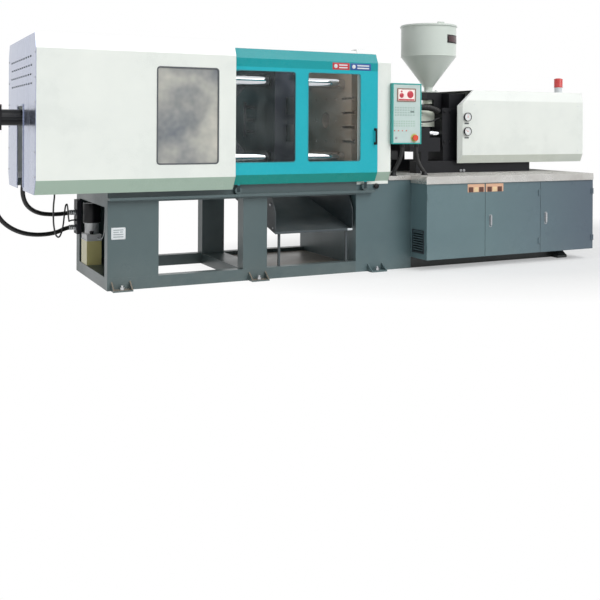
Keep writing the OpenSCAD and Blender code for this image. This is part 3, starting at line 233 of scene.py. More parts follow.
@dataclass(frozen=True)
class Finish:
    """One surface finish: two tints that cloud into each other, gloss, fine relief, rubbed edges and dust."""

    name: str
    slot: str
    tint: Tint
    shade: Tint
    rough: float = 0.35
    rough_spread: float = 0.1
    metal: float = 0.0
    cloud_scale: float = 1.2
    peel_scale: float = 220.0
    peel_depth: float = 0.0004
    edge_radius: float = 0.003
    edge_wear: float = 0.12
    bare: Tint = (168, 170, 172)
    dust: float = 0.12
    dust_tint: Tint = (176, 172, 160)
    grain: Grain = Grain.EVEN
    coat: float = 0.0
    specular: float = 0.5
    alpha: float = 1.0
    glow: float = 0.0

    def colour(self, w: Wiring, place: Socket, cloud: Socket) -> Socket:
        """Returns the clouded base colour, before wear and dust.

        Args:
            w: the wiring of the material's node tree.
            place: the piece's Object coordinates, not used here.
            cloud: the mask that clouds the tint with the shade.

        Returns:
            The socket of the colour.
        """
        return w.blend(cloud, linear(self.tint), linear(self.shade))

    def material(self) -> bpy.types.Material:
        """Returns the material, built on the first call and found by its name later."""
        known = bpy.data.materials.get(self.name)
        if known:
            return known
        made = bpy.data.materials.new(self.name)
        made.use_nodes = True
        w = Wiring(made.node_tree)
        shader = made.node_tree.nodes["Principled BSDF"]
        place = w.add("TexCoord").outputs["Object"]
        stretched = w.add("Mapping", {"Vector": place, "Scale": self.grain.value}).outputs[0]
        film = w.add("Group", node_tree=effects.film)
        edges = w.add("Group", node_tree=effects.rubbed)
        dust = w.add("Group", node_tree=effects.dust)
        for node, values in ((film, {"Cloud Scale": self.cloud_scale, "Peel Scale": self.peel_scale}),
                             (edges, {"Radius": self.edge_radius, "Amount": self.edge_wear}),
                             (dust, {"Amount": self.dust})):
            for key, value in values.items():
                node.inputs[key].default_value = value
        w.tree.links.new(stretched, film.inputs["Place"])
        w.tree.links.new(place, edges.inputs["Place"])
        w.tree.links.new(place, dust.inputs["Place"])
        cloud, peel = film.outputs["Cloud"], film.outputs["Peel"]
        colour = self.colour(w, place, cloud)
        colour = w.blend(edges.outputs["Mask"], colour, linear(self.bare))
        colour = w.blend(dust.outputs["Mask"], colour, linear(self.dust_tint))
        rough = w.span(w.sum("ADD", cloud, peel), 0.4, 1.6, self.rough - self.rough_spread,
                       self.rough + self.rough_spread)
        rough = w.sum("ADD", rough, w.sum("MULTIPLY", dust.outputs["Mask"], 0.5), clamp=True)
        bump = w.add("Bump", {"Height": peel, "Distance": self.peel_depth, "Strength": 0.6,
                              "Normal": edges.outputs["Normal"]})
        for key, socket in (("Base Color", colour), ("Roughness", rough), ("Normal", bump.outputs[0])):
            w.tree.links.new(socket, shader.inputs[key])
        shader.inputs["Metallic"].default_value = self.metal
        shader.inputs["Coat Weight"].default_value = self.coat
        shader.inputs["Specular IOR Level"].default_value = self.specular
        shader.inputs["Alpha"].default_value = self.alpha
        if self.glow:
            shader.inputs["Emission Strength"].default_value = self.glow
            w.tree.links.new(colour, shader.inputs["Emission Color"])
        return made


@dataclass(frozen=True)
class BandedFinish(Finish):
    """A finish with painted light: a painted highlight on faces that look up and painted shade on faces that
    look down, such as the bevels of a folded guard.
    """

    # Painted shade for faces that look down and a painted highlight for faces that look up.
    lower_shade_tint: Tint = (168, 190, 174)
    upper_highlight_tint: Tint = (250, 252, 252)

    def colour(self, w: Wiring, place: Socket, cloud: Socket) -> Socket:
        """Returns the clouded colour with painted shade on faces that look down and a painted highlight on
        faces that look up.

        Args:
            w: the wiring of the material's node tree.
            place: the piece's Object coordinates.
            cloud: the mask that clouds the tint with the shade.

        Returns:
            The socket of the colour.
        """
        plain = super().colour(w, place, cloud)
        up = w.part(w.add("NewGeometry").outputs["Normal"], "Z")
        # Painted shade on faces that look down, painted highlight on faces that look up.
        low = w.span(up, -0.15, -0.4, 0.0, 1.0)
        high = w.span(up, 0.15, 0.4, 0.0, 1.0)
        return w.blend(high, w.blend(low, plain, linear(self.lower_shade_tint)), linear(self.upper_highlight_tint))


@dataclass(frozen=True)
class DoorFinish(BandedFinish):
    """The sliding door's enamel with a deeper strip along its top and painted shade on its underside."""

    strip_tint: Tint = (18, 150, 156)
    strip_z: float = 1.928
    # Below foot_z the door takes painted shade, the shadow that falls under the guard.
    foot_tint: Tint = (40, 54, 58)
    foot_z: float = 0.868
    blur: float = 0.002

    def colour(self, w: Wiring, place: Socket, cloud: Socket) -> Socket:
        """Returns the door's colour with its strip and the painted shade on its underside.

        Args:
            w: the wiring of the material's node tree.
            place: the piece's Object coordinates.
            cloud: the mask that clouds the tint with the shade.

        Returns:
            The socket of the colour.
        """
        plain = super().colour(w, place, cloud)
        height = w.part(place, "Z")
        over = w.span(height, self.strip_z - self.blur, self.strip_z + self.blur, 0.0, 1.0)
        # Painted shade below foot_z.
        under = w.span(height, self.foot_z + self.blur, self.foot_z - self.blur, 0.0, 1.0)
        strip = w.blend(over, plain, linear(self.strip_tint))
        return w.blend(under, strip, linear(self.foot_tint))


@dataclass(frozen=True)
class FootedFinish(Finish):
    """A finish that changes to another tint below a level, on all faces or only on those that look up."""

    foot_tint: Tint = (26, 36, 38)
    foot_z: float = 0.108
    only_up: bool = False

    def colour(self, w: Wiring, place: Socket, cloud: Socket) -> Socket:
        """Returns the clouded colour and, below the level, the foot's tint.

        Args:
            w: the wiring of the material's node tree.
            place: the piece's Object coordinates.
            cloud: the mask that clouds the tint with the shade.

        Returns:
            The socket of the colour.
        """
        plain = super().colour(w, place, cloud)
        mask = w.span(w.part(place, "Z"), self.foot_z - 0.002, self.foot_z + 0.002, 1.0, 0.0)
        if self.only_up:
            up = w.part(w.add("NewGeometry").outputs["Normal"], "Z")
            mask = w.sum("MULTIPLY", mask, w.span(up, 0.4, 0.6, 0.0, 1.0))
        return w.blend(mask, plain, w.blend(cloud, linear(self.foot_tint),
                                            linear(tuple(int(c * 0.8) for c in self.foot_tint))))


@dataclass(frozen=True)
class FadedFinish(Finish):
    """A finish with painted shade that drifts to a darker tint along one direction, as a large panel reflects
    a room.
    """

    # The far tint is a painted shade.
    far_shade_tint: Tint = (75, 90, 103)
    start: float = 2.4
    end: float = 3.8

    def colour(self, w: Wiring, place: Socket, cloud: Socket) -> Socket:
        """Returns the clouded colour drifting towards the darker far tint along X, a painted shade.

        Args:
            w: the wiring of the material's node tree.
            place: the piece's Object coordinates.
            cloud: the mask that clouds the tint with the shade.

        Returns:
            The socket of the colour.
        """
        plain = super().colour(w, place, cloud)
        along = w.part(place, "X")
        # Painted shade that grows along X.
        return w.blend(w.span(along, self.start, self.end, 0.0, 1.0), plain, linear(self.far_shade_tint))


@dataclass(frozen=True)
class ClearFinish(Finish):
    """A transparent sheet whose haze gathers towards its clouds."""

    haze: float = 0.1

    def material(self) -> bpy.types.Material:
        """Returns the material with an alpha that varies a little over the sheet."""
        known = bpy.data.materials.get(self.name)
        if known:
            return known
        made = super().material()
        w = Wiring(made.node_tree)
        shader = made.node_tree.nodes["Principled BSDF"]
        place = w.add("TexCoord").outputs["Object"]
        streak = w.add("TexNoise", {"Vector": place, "Scale": 3.0, "Detail": 5.0, "Distortion": 1.2})
        alpha = w.span(streak.outputs[0], 0.35, 0.7, self.alpha, min(1.0, self.alpha + self.haze))
        w.tree.links.new(alpha, shader.inputs["Alpha"])
        return made


@dataclass(frozen=True)
class OilFinish(Finish):
    """A translucent tank with oil up to a level, and its pale empty top."""

    empty_tint: Tint = (205, 200, 165)
    level: float = 0.27

    def colour(self, w: Wiring, place: Socket, cloud: Socket) -> Socket:
        """Returns the oil's colour below its level and the tank's own above it.

        Args:
            w: the wiring of the material's node tree.
            place: the piece's Object coordinates.
            cloud: the mask that clouds the tint with the shade.

        Returns:
            The socket of the colour.
        """
        oil = super().colour(w, place, cloud)
        height = w.part(place, "Z")
        return w.blend(w.span(height, self.level - 0.004, self.level + 0.004, 0.0, 1.0), oil,
                       linear(self.empty_tint))


@dataclass(frozen=True)
class MachinedFinish(Finish):
    """Milled steel: overlapping cutter arcs over a clouded base."""

    arc_scale: float = 28.0
    arc_strength: float = 0.25

    def colour(self, w: Wiring, place: Socket, cloud: Socket) -> Socket:
        """Returns the clouded base darkened along the cutter's arcs.

        Args:
            w: the wiring of the material's node tree.
            place: the piece's Object coordinates.
            cloud: the mask that clouds the tint with the shade.

        Returns:
            The socket of the colour.
        """
        plain = super().colour(w, place, cloud)
        arcs = w.add("TexWave", {"Vector": place, "Scale": self.arc_scale, "Distortion": 3.0,
                                 "Detail": 3.0}, wave_type="RINGS", rings_direction="X")
        dark = w.sum("MULTIPLY", arcs.outputs[1], self.arc_strength)
        return w.blend(dark, plain, linear(tuple(int(c * 0.55) for c in self.shade)))


# GUARD, COVER and DOOR paint a highlight on faces that look up and shade on faces that look down; DOOR also
# paints shade below its foot level.
GUARD = BandedFinish("guard_enamel", "guard_white", (224, 229, 224), (233, 237, 231), 0.3, coat=0.1,
                     edge_wear=0.05, dust=0.05)
COVER = replace(GUARD, name="cover_enamel", lower_shade_tint=(204, 210, 200))
DOOR = DoorFinish("door_enamel", "door_teal", (36, 176, 190), (26, 166, 180), 0.3, coat=0.05,
                  edge_wear=0.06, dust=0.03, lower_shade_tint=(8, 146, 138),
                  upper_highlight_tint=(150, 224, 230), specular=0.25)
# The bed paints' bare tint is a paler tint of the paint, so their rubbed edges are partly wear and partly a
# painted highlight along the edges.
BED = Finish("bed_enamel", "bed_paint", (82, 98, 100), (72, 88, 90), 0.36, edge_wear=0.1,
             bare=(150, 158, 156))
FRAME = FootedFinish("frame_enamel", "bed_paint", (82, 98, 100), (72, 88, 90), 0.34, edge_wear=0.1,
                     bare=(150, 158, 156), foot_tint=(128, 118, 106), foot_z=0.08, only_up=True)
BLOCK = Finish("block_enamel", "bed_paint", (86, 108, 112), (78, 98, 102), 0.34, edge_wear=0.1,
               bare=(150, 158, 156))
PLINTH = FootedFinish("plinth_enamel", "bed_paint", (86, 108, 112), (78, 98, 102), 0.34, edge_wear=0.1,
                      bare=(150, 158, 156))
# The cabinet's paint darkens along X with a painted shade.
CABINET = FadedFinish("cabinet_enamel", "bed_paint", (98, 122, 127), (90, 113, 118), 0.3, edge_wear=0.08,
                      bare=(150, 160, 160), coat=0.1)
CHUTE = Finish("chute_enamel", "bed_paint", (70, 80, 84), (54, 62, 66), 0.42, edge_wear=0.25)
FIXED = MachinedFinish("fixed_platen_face", "platen_steel", (160, 144, 128), (134, 120, 107), 0.5,
                       metal=0.0, specular=0.08, edge_wear=0.3, peel_depth=0.0003)
PLATEN = MachinedFinish("platen_primer", "platen_steel", (48, 48, 56), (34, 34, 40), 0.45, metal=0.1,
                        specular=0.15, edge_wear=0.3, arc_strength=0.15)
CASTING = Finish("casting_primer", "black_paint", (26, 27, 31), (18, 19, 23), 0.46, peel_scale=120.0,
                 peel_depth=0.0012, edge_wear=0.15, bare=(80, 82, 86), dust=0.05, specular=0.25)
BLACK = Finish("satin_black", "black_paint", (18, 19, 22), (12, 13, 16), 0.38, edge_wear=0.12,
               bare=(80, 82, 86), dust=0.05, specular=0.3)
CHROME = Finish("ground_chrome", "bright_steel", (222, 224, 228), (200, 203, 208), 0.1, 0.05, metal=1.0,
                peel_depth=0.00005, edge_wear=0.0, dust=0.03, grain=Grain.ALONG_X, edge_radius=0.001)
STEEL = Finish("zinc_steel", "bright_steel", (186, 188, 190), (160, 162, 166), 0.3, metal=0.9,
               edge_radius=0.001, edge_wear=0.1)
END = Finish("polished_sheet", "stainless", (154, 163, 190), (178, 186, 208), 0.24, 0.08, metal=0.85,
             cloud_scale=3.0, peel_scale=300.0, peel_depth=0.00015, grain=Grain.ALONG_Z, edge_radius=0.001,
             edge_wear=0.0, dust=0.02)
# The smoked window's dark blue tint and pale beige shade cloud into painted reflections of the room.
SMOKED = ClearFinish("smoked_sheet", "smoked_pane", (66, 80, 98), (204, 202, 190), 0.1, 0.05,
                     cloud_scale=1.5, coat=0.6, edge_wear=0.0, dust=0.0, alpha=0.9, haze=0.1,
                     peel_depth=0.00005, edge_radius=0.0005)
CLEAR = ClearFinish("clear_sheet", "clear_pane", (214, 230, 230), (225, 236, 236), 0.05, 0.03,
                    edge_wear=0.0, dust=0.0, alpha=0.01, haze=0.03, coat=0.3, peel_depth=0.00003,
                    edge_radius=0.0005)
DECK = Finish("tread_aluminium", "deck_aluminium", (206, 205, 202), (182, 180, 176), 0.3, 0.1, metal=0.75,
              cloud_scale=5.0, dust=0.08, edge_wear=0.1, bare=(230, 230, 228))
HOPPER = Finish("hopper_enamel", "hopper_paint", (214, 222, 214), (204, 213, 206), 0.3, coat=0.15,
                edge_wear=0.06, dust=0.04)
PUMP = Finish("pump_grey", "pump_grey", (188, 190, 190), (166, 168, 170), 0.4)
TANK = OilFinish("oil_tank", "oil_tank", (150, 142, 70), (118, 112, 58), 0.22, cloud_scale=6.0, dust=0.05,
                 coat=0.5, edge_wear=0.0)
RUBBER = Finish("black_rubber", "hose_rubber", (26, 26, 27), (18, 18, 19), 0.5, peel_scale=500.0,
                peel_depth=0.0003, edge_wear=0.0, dust=0.1, edge_radius=0.0005)
PANEL = Finish("panel_enamel", "door_teal", (46, 172, 164), (40, 160, 154), 0.28, coat=0.2, edge_wear=0.08)
ESTOP = Finish("button_red", "estop_red", (226, 78, 44), (214, 66, 36), 0.2, coat=0.4,
               edge_wear=0.0, dust=0.05)
CREAM = Finish("heat_guard_cream", "barrel_guard_cream", (226, 232, 218), (216, 222, 208),
               0.35, edge_wear=0.1)
DIAL = Finish("dial_white", "gauge_face", (232, 234, 234), (222, 225, 226), 0.25, coat=0.6, edge_wear=0.0,
              dust=0.0, edge_radius=0.0005)
LENS = Finish("lamp_lens", "lamp_red", (206, 34, 28), (186, 22, 20), 0.15, coat=0.8, edge_wear=0.0,
              dust=0.02, glow=0.15, edge_radius=0.0005)
FACE = Finish("panel_face", "guard_white", (186, 204, 200), (194, 211, 207), 0.4, cloud_scale=6.0,
              edge_wear=0.0, dust=0.0, edge_radius=0.0005)
PLATE = Finish("blank_plate", "guard_white", (222, 226, 228), (206, 211, 214), 0.3, edge_radius=0.0005)
PEACH = Finish("peach_field", "guard_white", (222, 178, 148), (212, 166, 136), 0.4, edge_wear=0.0,
               edge_radius=0.0003)
BROWN = Finish("brown_field", "black_paint", (96, 56, 42), (80, 46, 36), 0.4, edge_wear=0.0,
               edge_radius=0.0003)
WINE = Finish("sight_glass", "lamp_red", (60, 15, 25), (44, 10, 18), 0.2, coat=0.3, edge_wear=0.0,
              cloud_scale=9.0, edge_radius=0.0005)
SCREEN = Finish("screen_field", "guard_white", (236, 226, 222), (226, 208, 204), 0.2, coat=0.5,
                edge_wear=0.0, dust=0.0, glow=0.25, edge_radius=0.0003)
CRIMSON = Finish("screen_red", "lamp_red", (196, 44, 62), (160, 28, 48), 0.2, coat=0.5, edge_wear=0.0,
                 dust=0.0, glow=0.2, edge_radius=0.0003)
KEY = Finish("key_grey", "pump_grey", (174, 196, 190), (167, 188, 182), 0.45, edge_wear=0.0, dust=0.0,
             edge_radius=0.0003)
SEAL = Finish("seal_grey", "hose_rubber", (84, 88, 92), (70, 74, 78), 0.5, edge_wear=0.0,
              edge_radius=0.0005)
DARK = Finish("louvre_dark", "black_paint", (46, 58, 66), (36, 46, 54), 0.5, edge_radius=0.0005)

NODE_FINISHES: dict[str, Finish] = {
    "base_frame": FRAME, "pedestals": BED, "bed_beams": BED, "bed_block": BLOCK, "injection_bed": PLINTH,
    "product_chute": CHUTE, "fixed_platen": FIXED, "rear_platen": PLATEN, "tie_bars": CHROME,
    "tie_bar_nuts": PLATEN, "closing_cylinder": BLACK, "clamp_guard_front": GUARD, "clamp_guard_rear": GUARD,
    "clamp_guard_top": GUARD, "guard_window": SMOKED, "end_cover": END, "door_rails": BED,
    "fixed_guards": GUARD, "cabinet_body": CABINET, "deck_plate": DECK, "injection_base": CASTING,
    "guide_rods": CHROME, "control_panel": PANEL, "lubricator": PUMP, "lubricator_tank": TANK,
    "hose_manifold": PLATEN, "moving_platen": PLATEN, "rear_links_upper": PLATEN, "rear_links_lower": PLATEN,
    "front_links_upper": PLATEN, "front_links_lower": PLATEN, "crosshead": PLATEN, "ejector": PLATEN,
    "safety_door": DOOR, "door_panes": CLEAR, "door_handle": BLACK, "door_roller_left": BED,
    "door_roller_right": BED, "rear_door": DOOR, "cabinet_door_left": CABINET, "cabinet_door_middle": CABINET,
    "cabinet_door_right": CABINET, "latch_middle": STEEL, "latch_right": STEEL, "estop_button": ESTOP,
    "injection_carriage": CASTING, "drive_unit": CASTING, "barrel": STEEL, "screw": CHROME,
    "barrel_guard": CREAM, "hopper": HOPPER, "hopper_lid": HOPPER, "injection_cover": COVER,
    "pressure_gauges": DIAL, "signal_lamp": LENS,
}


class Bench:
    """Modelling moves that the sub-assemblies share."""

    @staticmethod
    def clear() -> None:
        """Deselects everything."""
        bpy.ops.object.select_all(action="DESELECT")

    @staticmethod
    def pick(piece: Piece) -> None:
        """Selects only this piece and makes it active.

        Args:
            piece: the object to select alone and make active.
        """
        Bench.clear()
        piece.select_set(True)
        bpy.context.view_layer.objects.active = piece

    @staticmethod
    def edit_all() -> None:
        """Enters edit mode with the whole mesh selected."""
        bpy.ops.object.mode_set(mode="EDIT")
        bpy.ops.mesh.select_all(action="SELECT")

    @staticmethod
    def settle(name: str) -> Piece:
        """Names the active object, puts its place in its mesh and returns it.

        Args:
            name: the name of the object and its mesh.

        Returns:
            The piece, with its object at the origin.
        """
        piece = bpy.context.object
        piece.name = piece.data.name = name
        bpy.ops.object.transform_apply(location=True, rotation=True, scale=True)
        return piece

    @staticmethod
    def soften(piece: Piece, width: float, angle: float = 0.6, segments: int = 2) -> None:
        """Bevels the sharp edges and smooths the rest.

        Args:
            piece: the object to finish.
            width: the bevel's width in metres.
            angle: the least angle between faces that is bevelled.
            segments: how many faces round each edge.
        """
        if width > 0:
            edge = piece.modifiers.new("edge", "BEVEL")
            edge.width, edge.segments, edge.angle_limit = width, segments, angle
            edge.limit_method = "ANGLE"
            bpy.context.view_layer.objects.active = piece
            bpy.ops.object.modifier_apply(modifier="edge")
        Bench.pick(piece)
        bpy.ops.object.shade_smooth_by_angle(angle=SMOOTH_ANGLE)

    @staticmethod
    def block(name: str, low: Point, high: Point, round_edge: float = 0.002) -> Piece:
        """Makes a block with rounded edges between two corners.

        Args:
            name: the piece's name.
            low: its lowest corner.
            high: its highest corner.
            round_edge: the width of its edge bevel.

        Returns:
            The piece.
        """
        Bench.clear()
        middle = [(a + b) / 2 for a, b in zip(low, high)]
        bpy.ops.mesh.primitive_cube_add(size=1, location=middle, scale=[b - a for a, b in zip(low, high)])
        piece = Bench.settle(name)
        Bench.edit_all()
        bpy.ops.mesh.bevel(offset=round_edge, segments=2, affect="EDGES")
        bpy.ops.object.mode_set(mode="OBJECT")
        Bench.soften(piece, 0.0)
        return piece

    @staticmethod
    def turned(name: str, foot: Point, facing: Facing, radius: float, steps: list[tuple[float, float]],
               sides: int = 40, edge: float = 0.0008) -> Piece:
        """Turns a round piece from a disc that is drawn out step by step.

        Args:
            name: the piece's name.
            foot: the middle of its foot.
            facing: the way its axis points.
            radius: the radius of the foot.
            steps: for each step the radius it ends at and how far it moves along the axis.
            sides: the number of sides of the disc, 6 for a hexagon.
            edge: the width of the bevel on sharp edges.

        Returns:
            The piece.
        """
        Bench.clear()
        axis, centre, now = facing.normal(), Vector(foot), radius
        bpy.ops.mesh.primitive_circle_add(vertices=sides, radius=radius, fill_type="NGON", location=foot,
                                          rotation=facing.value)
        piece = Bench.settle(name)
        Bench.edit_all()
        for target, push in steps:
            bpy.ops.mesh.extrude_region_move(TRANSFORM_OT_translate={"value": axis * push})
            centre += axis * push
            size = target / now
            if abs(size - 1) > 1e-6:
                bpy.ops.transform.resize(value=(size, size, size), center_override=centre)
            now = target
        bpy.ops.mesh.select_all(action="SELECT")
        bpy.ops.mesh.remove_doubles(threshold=1e-6)
        bpy.ops.mesh.normals_make_consistent(inside=False)
        bpy.ops.object.mode_set(mode="OBJECT")
        Bench.soften(piece, edge)
        return piece

    @staticmethod
    def sheet(name: str, centre: Point, size: tuple[float, float], facing: Facing, corner: float,
              depth: float, ring: float = 0.0, edge: float = 0.0006) -> Piece:
        """Makes a flat plate with round corners, or a frame of that outline.

        Args:
            name: the piece's name.
            centre: the middle of its outer face.
            size: its width and height on that face.
            facing: the way the face looks.
            corner: the radius of its corners.
            depth: its thickness, behind the face.
            ring: the width of the frame, or 0 for a whole plate.
            edge: the width of the bevel on its edges.

        Returns:
            The piece.
        """
        Bench.clear()
        wide, high = size if facing not in (Facing.LEFT, Facing.RIGHT) else (size[1], size[0])
        bpy.ops.mesh.primitive_plane_add(size=1, location=centre, rotation=facing.value)
        bpy.context.object.scale = (wide, high, 1)
        piece = Bench.settle(name)
        Bench.edit_all()
        if corner > 0:
            bpy.ops.mesh.bevel(offset=corner, segments=6, affect="VERTICES")
        if ring > 0:
            bpy.ops.mesh.select_all(action="SELECT")
            bpy.ops.mesh.inset(thickness=ring)
            bpy.ops.mesh.delete(type="FACE")
        bpy.ops.object.mode_set(mode="OBJECT")
        wall = piece.modifiers.new("wall", "SOLIDIFY")
        wall.thickness, wall.offset = depth, -1
        bpy.ops.object.modifier_apply(modifier="wall")
        Bench.soften(piece, edge)
        return piece

    @staticmethod
    def repeat(name: str, master: Piece, offsets: list[Point]) -> Piece:
        """Copies a modelled piece to each offset, each copy with its own mesh, and joins them as one piece.

        Args:
            name: the name of the joined piece.
            master: the piece, which stays as the first of them.
            offsets: where the other copies go, from the master's place.

        Returns:
            The joined piece.
        """
        copies = []
        for offset in offsets:
            twin = bpy.data.objects.new(name, master.data.copy())
            twin.data.transform(Matrix.Translation(offset))
            bpy.context.scene.collection.objects.link(twin)
            copies.append(twin)
        Bench.join(name, [master] + copies)
        return master

    @staticmethod
    def join(name: str, pieces: list[Piece]) -> Piece:
        """Joins pieces that share a finish into the first of them and returns it.

        Args:
            name: the name of the joined piece.
            pieces: the pieces, of which the first is kept.

        Returns:
            The joined piece.
        """
        Bench.clear()
        for piece in pieces:
            piece.select_set(True)
        bpy.context.view_layer.objects.active = pieces[0]
        if len(pieces) > 1:
            bpy.ops.object.join()
        pieces[0].name = pieces[0].data.name = name
        return pieces[0]

    @staticmethod
    def smooth_route(points: list[Point], steps: int = 6) -> list[Vector]:
        """Draws one smooth curve through a route's points.

        Args:
            points: the route.
            steps: how many stretches each gap is divided into.

        Returns:
            The points of the curve.
        """
        p = [Vector(q) for q in points]
        ends = [2 * p[0] - p[1]] + p + [2 * p[-1] - p[-2]]
        curve = []
        for a, b, c, d in zip(ends, ends[1:], ends[2:], ends[3:]):
            for k in range(steps):
                t = k / steps
                curve.append(0.5 * (2 * b + (c - a) * t + (2 * a - 5 * b + 4 * c - d) * t * t
                                    + (3 * b - a - 3 * c + d) * t ** 3))
        return curve + [p[-1]]

    @staticmethod
    def tube(name: str, route: list[Vector], radius: float, sides: int = 14, rib: float = 0.0,
             pitch: float = 0.012) -> Piece:
        """Sweeps a round or ribbed tube along a route.

        Args:
            name: the piece's name.
            route: the points it follows.
            radius: its outer radius.
            sides: how many sides it has.
            rib: how deep its ribs are cut, or 0 for a smooth tube.
            pitch: the distance between ribs.

        Returns:
            The piece, a closed tube.
        """
        if rib > 0:
            route = Bench.resample(route, pitch / 4)
        mesh = bmesh.new()
        side, rings = None, []
        for i, point in enumerate(route):
            ahead = (route[min(i + 1, len(route) - 1)] - route[max(i - 1, 0)]).normalized()
            side = ahead.orthogonal() if side is None else side - ahead * side.dot(ahead)
            side.normalize()
            across = ahead.cross(side)
            r = radius - (rib if i % 4 in (2, 3) else 0.0)
            rings.append([mesh.verts.new(point + r * (math.cos(a) * side + math.sin(a) * across))
                          for a in (2 * math.pi * k / sides for k in range(sides))])
        for low, high in zip(rings, rings[1:]):
            for k in range(sides):
                mesh.faces.new((low[k], low[(k + 1) % sides], high[(k + 1) % sides], high[k]))
        mesh.faces.new(rings[0][::-1])
        mesh.faces.new(rings[-1])
        bmesh.ops.recalc_face_normals(mesh, faces=mesh.faces)
        data = bpy.data.meshes.new(name)
        mesh.to_mesh(data)
        mesh.free()
        piece = bpy.data.objects.new(name, data)
        bpy.context.scene.collection.objects.link(piece)
        Bench.soften(piece, 0.0)
        return piece

    @staticmethod
    def resample(route: list[Vector], step: float) -> list[Vector]:
        """Returns the route's points set an even step apart.

        Args:
            route: the points to walk along.
            step: the distance between the new points.

        Returns:
            The new points.
        """
        out, spare = [route[0]], 0.0
        for a, b in zip(route, route[1:]):
            span = (b - a).length
            at = step - spare
            while at < span:
                out.append(a.lerp(b, at / span))
                at += step
            spare = span - (at - step)
        if (out[-1] - route[-1]).length > step * 0.3:
            out.append(route[-1])
        return out


def fit(piece: Piece, finish: Finish, body: str) -> Piece:
    """Gives a piece its finish and body, and reports it.

    Args:
        piece: the finished mesh.
        finish: its surface finish.
        body: the CAD body that it rides on.

    Returns:
        The same piece.
    """
    piece.data.materials.clear()
    piece.data.materials.append(finish.material())
    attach(piece, body)
    log.info("%s on %s: %d faces", piece.name, body, len(piece.data.polygons))
    return piece


@dataclass
class Studio:
    """Camera, soft light and a pale floor that fades to white."""

    lens: float = 52.87
    place: Point = (-3.163, -7.9655, 1.400)
    heading: float = math.radians(-26.13)
    roll: float = 0.0057
    shift: float = -0.290

    def build(self) -> None:
        """Sets up the camera, the lights, the world and the floor."""
        self.build_camera()
        self.build_lights()
        self.build_world()
        self.build_floor()

    def build_camera(self) -> None:
        """Places the camera at the photograph's viewing angle."""
        data = bpy.data.cameras.new("camera")
        data.lens, data.sensor_width, data.shift_y = self.lens, 36.0, self.shift
        camera = bpy.data.objects.new("camera", data)
        camera.location = self.place
        turn = Matrix.Rotation(self.heading, 4, "Z") @ Matrix.Rotation(math.pi / 2, 4, "X")
        camera.rotation_euler = (turn @ Matrix.Rotation(self.roll, 4, "Z")).to_euler()
        bpy.context.scene.collection.objects.link(camera)
        bpy.context.scene.camera = camera
        bpy.context.scene.view_settings.view_transform = "Standard"

    def build_lights(self) -> None:
        """Adds two broad soft lamps and a small one that brightens the inside of the clamp."""
        lamps = (("key_light", 2.3, (math.radians(48), 0, math.radians(22)), 0.9),
                 ("fill_light", 0.3, (math.radians(62), 0, math.radians(-60)), 1.2))
        for name, power, tilt, spread in lamps:
            data = bpy.data.lights.new(name, "SUN")
            data.energy, data.angle = power, spread
            lamp = bpy.data.objects.new(name, data)
            lamp.rotation_euler = tilt
            bpy.context.scene.collection.objects.link(lamp)
        data = bpy.data.lights.new("inner_light", "POINT")
        data.energy, data.shadow_soft_size = 20.0, 0.15
        lamp = bpy.data.objects.new("inner_light", data)
        lamp.location = (0.42, -0.47, 1.85)
        lamp.visible_camera = lamp.visible_glossy = False
        bpy.context.scene.collection.objects.link(lamp)

    @staticmethod
    def seen(w: Wiring) -> Socket:
        """Returns 1 for camera, glossy and transmission rays.

        Args:
            w: the wiring of the node tree.

        Returns:
            The socket of the mask.
        """
        path = w.add("LightPath")
        seen = w.sum("MAXIMUM", path.outputs["Is Camera Ray"], path.outputs["Is Glossy Ray"])
        return w.sum("MAXIMUM", seen, path.outputs["Is Transmission Ray"])

    def build_world(self) -> None:
        """Makes a plain ambient light behind which the camera sees white."""
        world = bpy.context.scene.world or bpy.data.worlds.new("world")
        bpy.context.scene.world = world
        world.use_nodes = True
        w = Wiring(world.node_tree)
        world.node_tree.nodes.clear()
        ambient = w.add("Background", {"Color": (0.985, 0.99, 0.985, 1), "Strength": 0.27})
        white = w.add("Background", {"Color": (1, 1, 1, 1), "Strength": 1.0})
        mix = w.add("MixShader", {0: self.seen(w), 1: ambient.outputs[0], 2: white.outputs[0]})
        w.add("OutputWorld", {0: mix.outputs[0]})

    def build_floor(self) -> None:
        """Lays a pale round floor that fades to white away from the machine."""
        Bench.clear()
        bpy.ops.mesh.primitive_circle_add(vertices=96, radius=40, fill_type="NGON",
                                          location=(0.9, 0, -0.0005))
        floor = Bench.settle("floor")
        made = bpy.data.materials.new("pale_floor")
        made.use_nodes = True
        w = Wiring(made.node_tree)
        shader = made.node_tree.nodes["Principled BSDF"]
        place = w.add("TexCoord").outputs["Object"]
        speck = w.add("TexNoise", {"Vector": place, "Scale": 3.0, "Detail": 4.0})
        colour = w.blend(speck.outputs[0], (0.86, 0.865, 0.87, 1), (0.90, 0.905, 0.91, 1))
        w.tree.links.new(colour, shader.inputs["Base Color"])
        shader.inputs["Roughness"].default_value = 0.8
        shader.inputs["Specular IOR Level"].default_value = 0.1
        centred = w.add("Mapping", {"Vector": place, "Location": (-0.9, 0, 0),
                                    "Scale": (1 / 4.6, 1 / 3.0, 1)})
        reach = w.add("VectorMath", {0: centred.outputs[0]}, operation="LENGTH").outputs["Value"]
        fade = w.span(reach, 0.55, 1.0, 0.35, 1.0)
        white = w.add("Emission", {"Color": (1, 1, 1, 1), "Strength": 1.0})
        mix = w.add("MixShader", {0: w.sum("MULTIPLY", fade, self.seen(w)), 1: shader.outputs[0],
                                  2: white.outputs[0]})
        w.tree.links.new(mix.outputs[0], made.node_tree.nodes["Material Output"].inputs["Surface"])
        floor.data.materials.append(made)


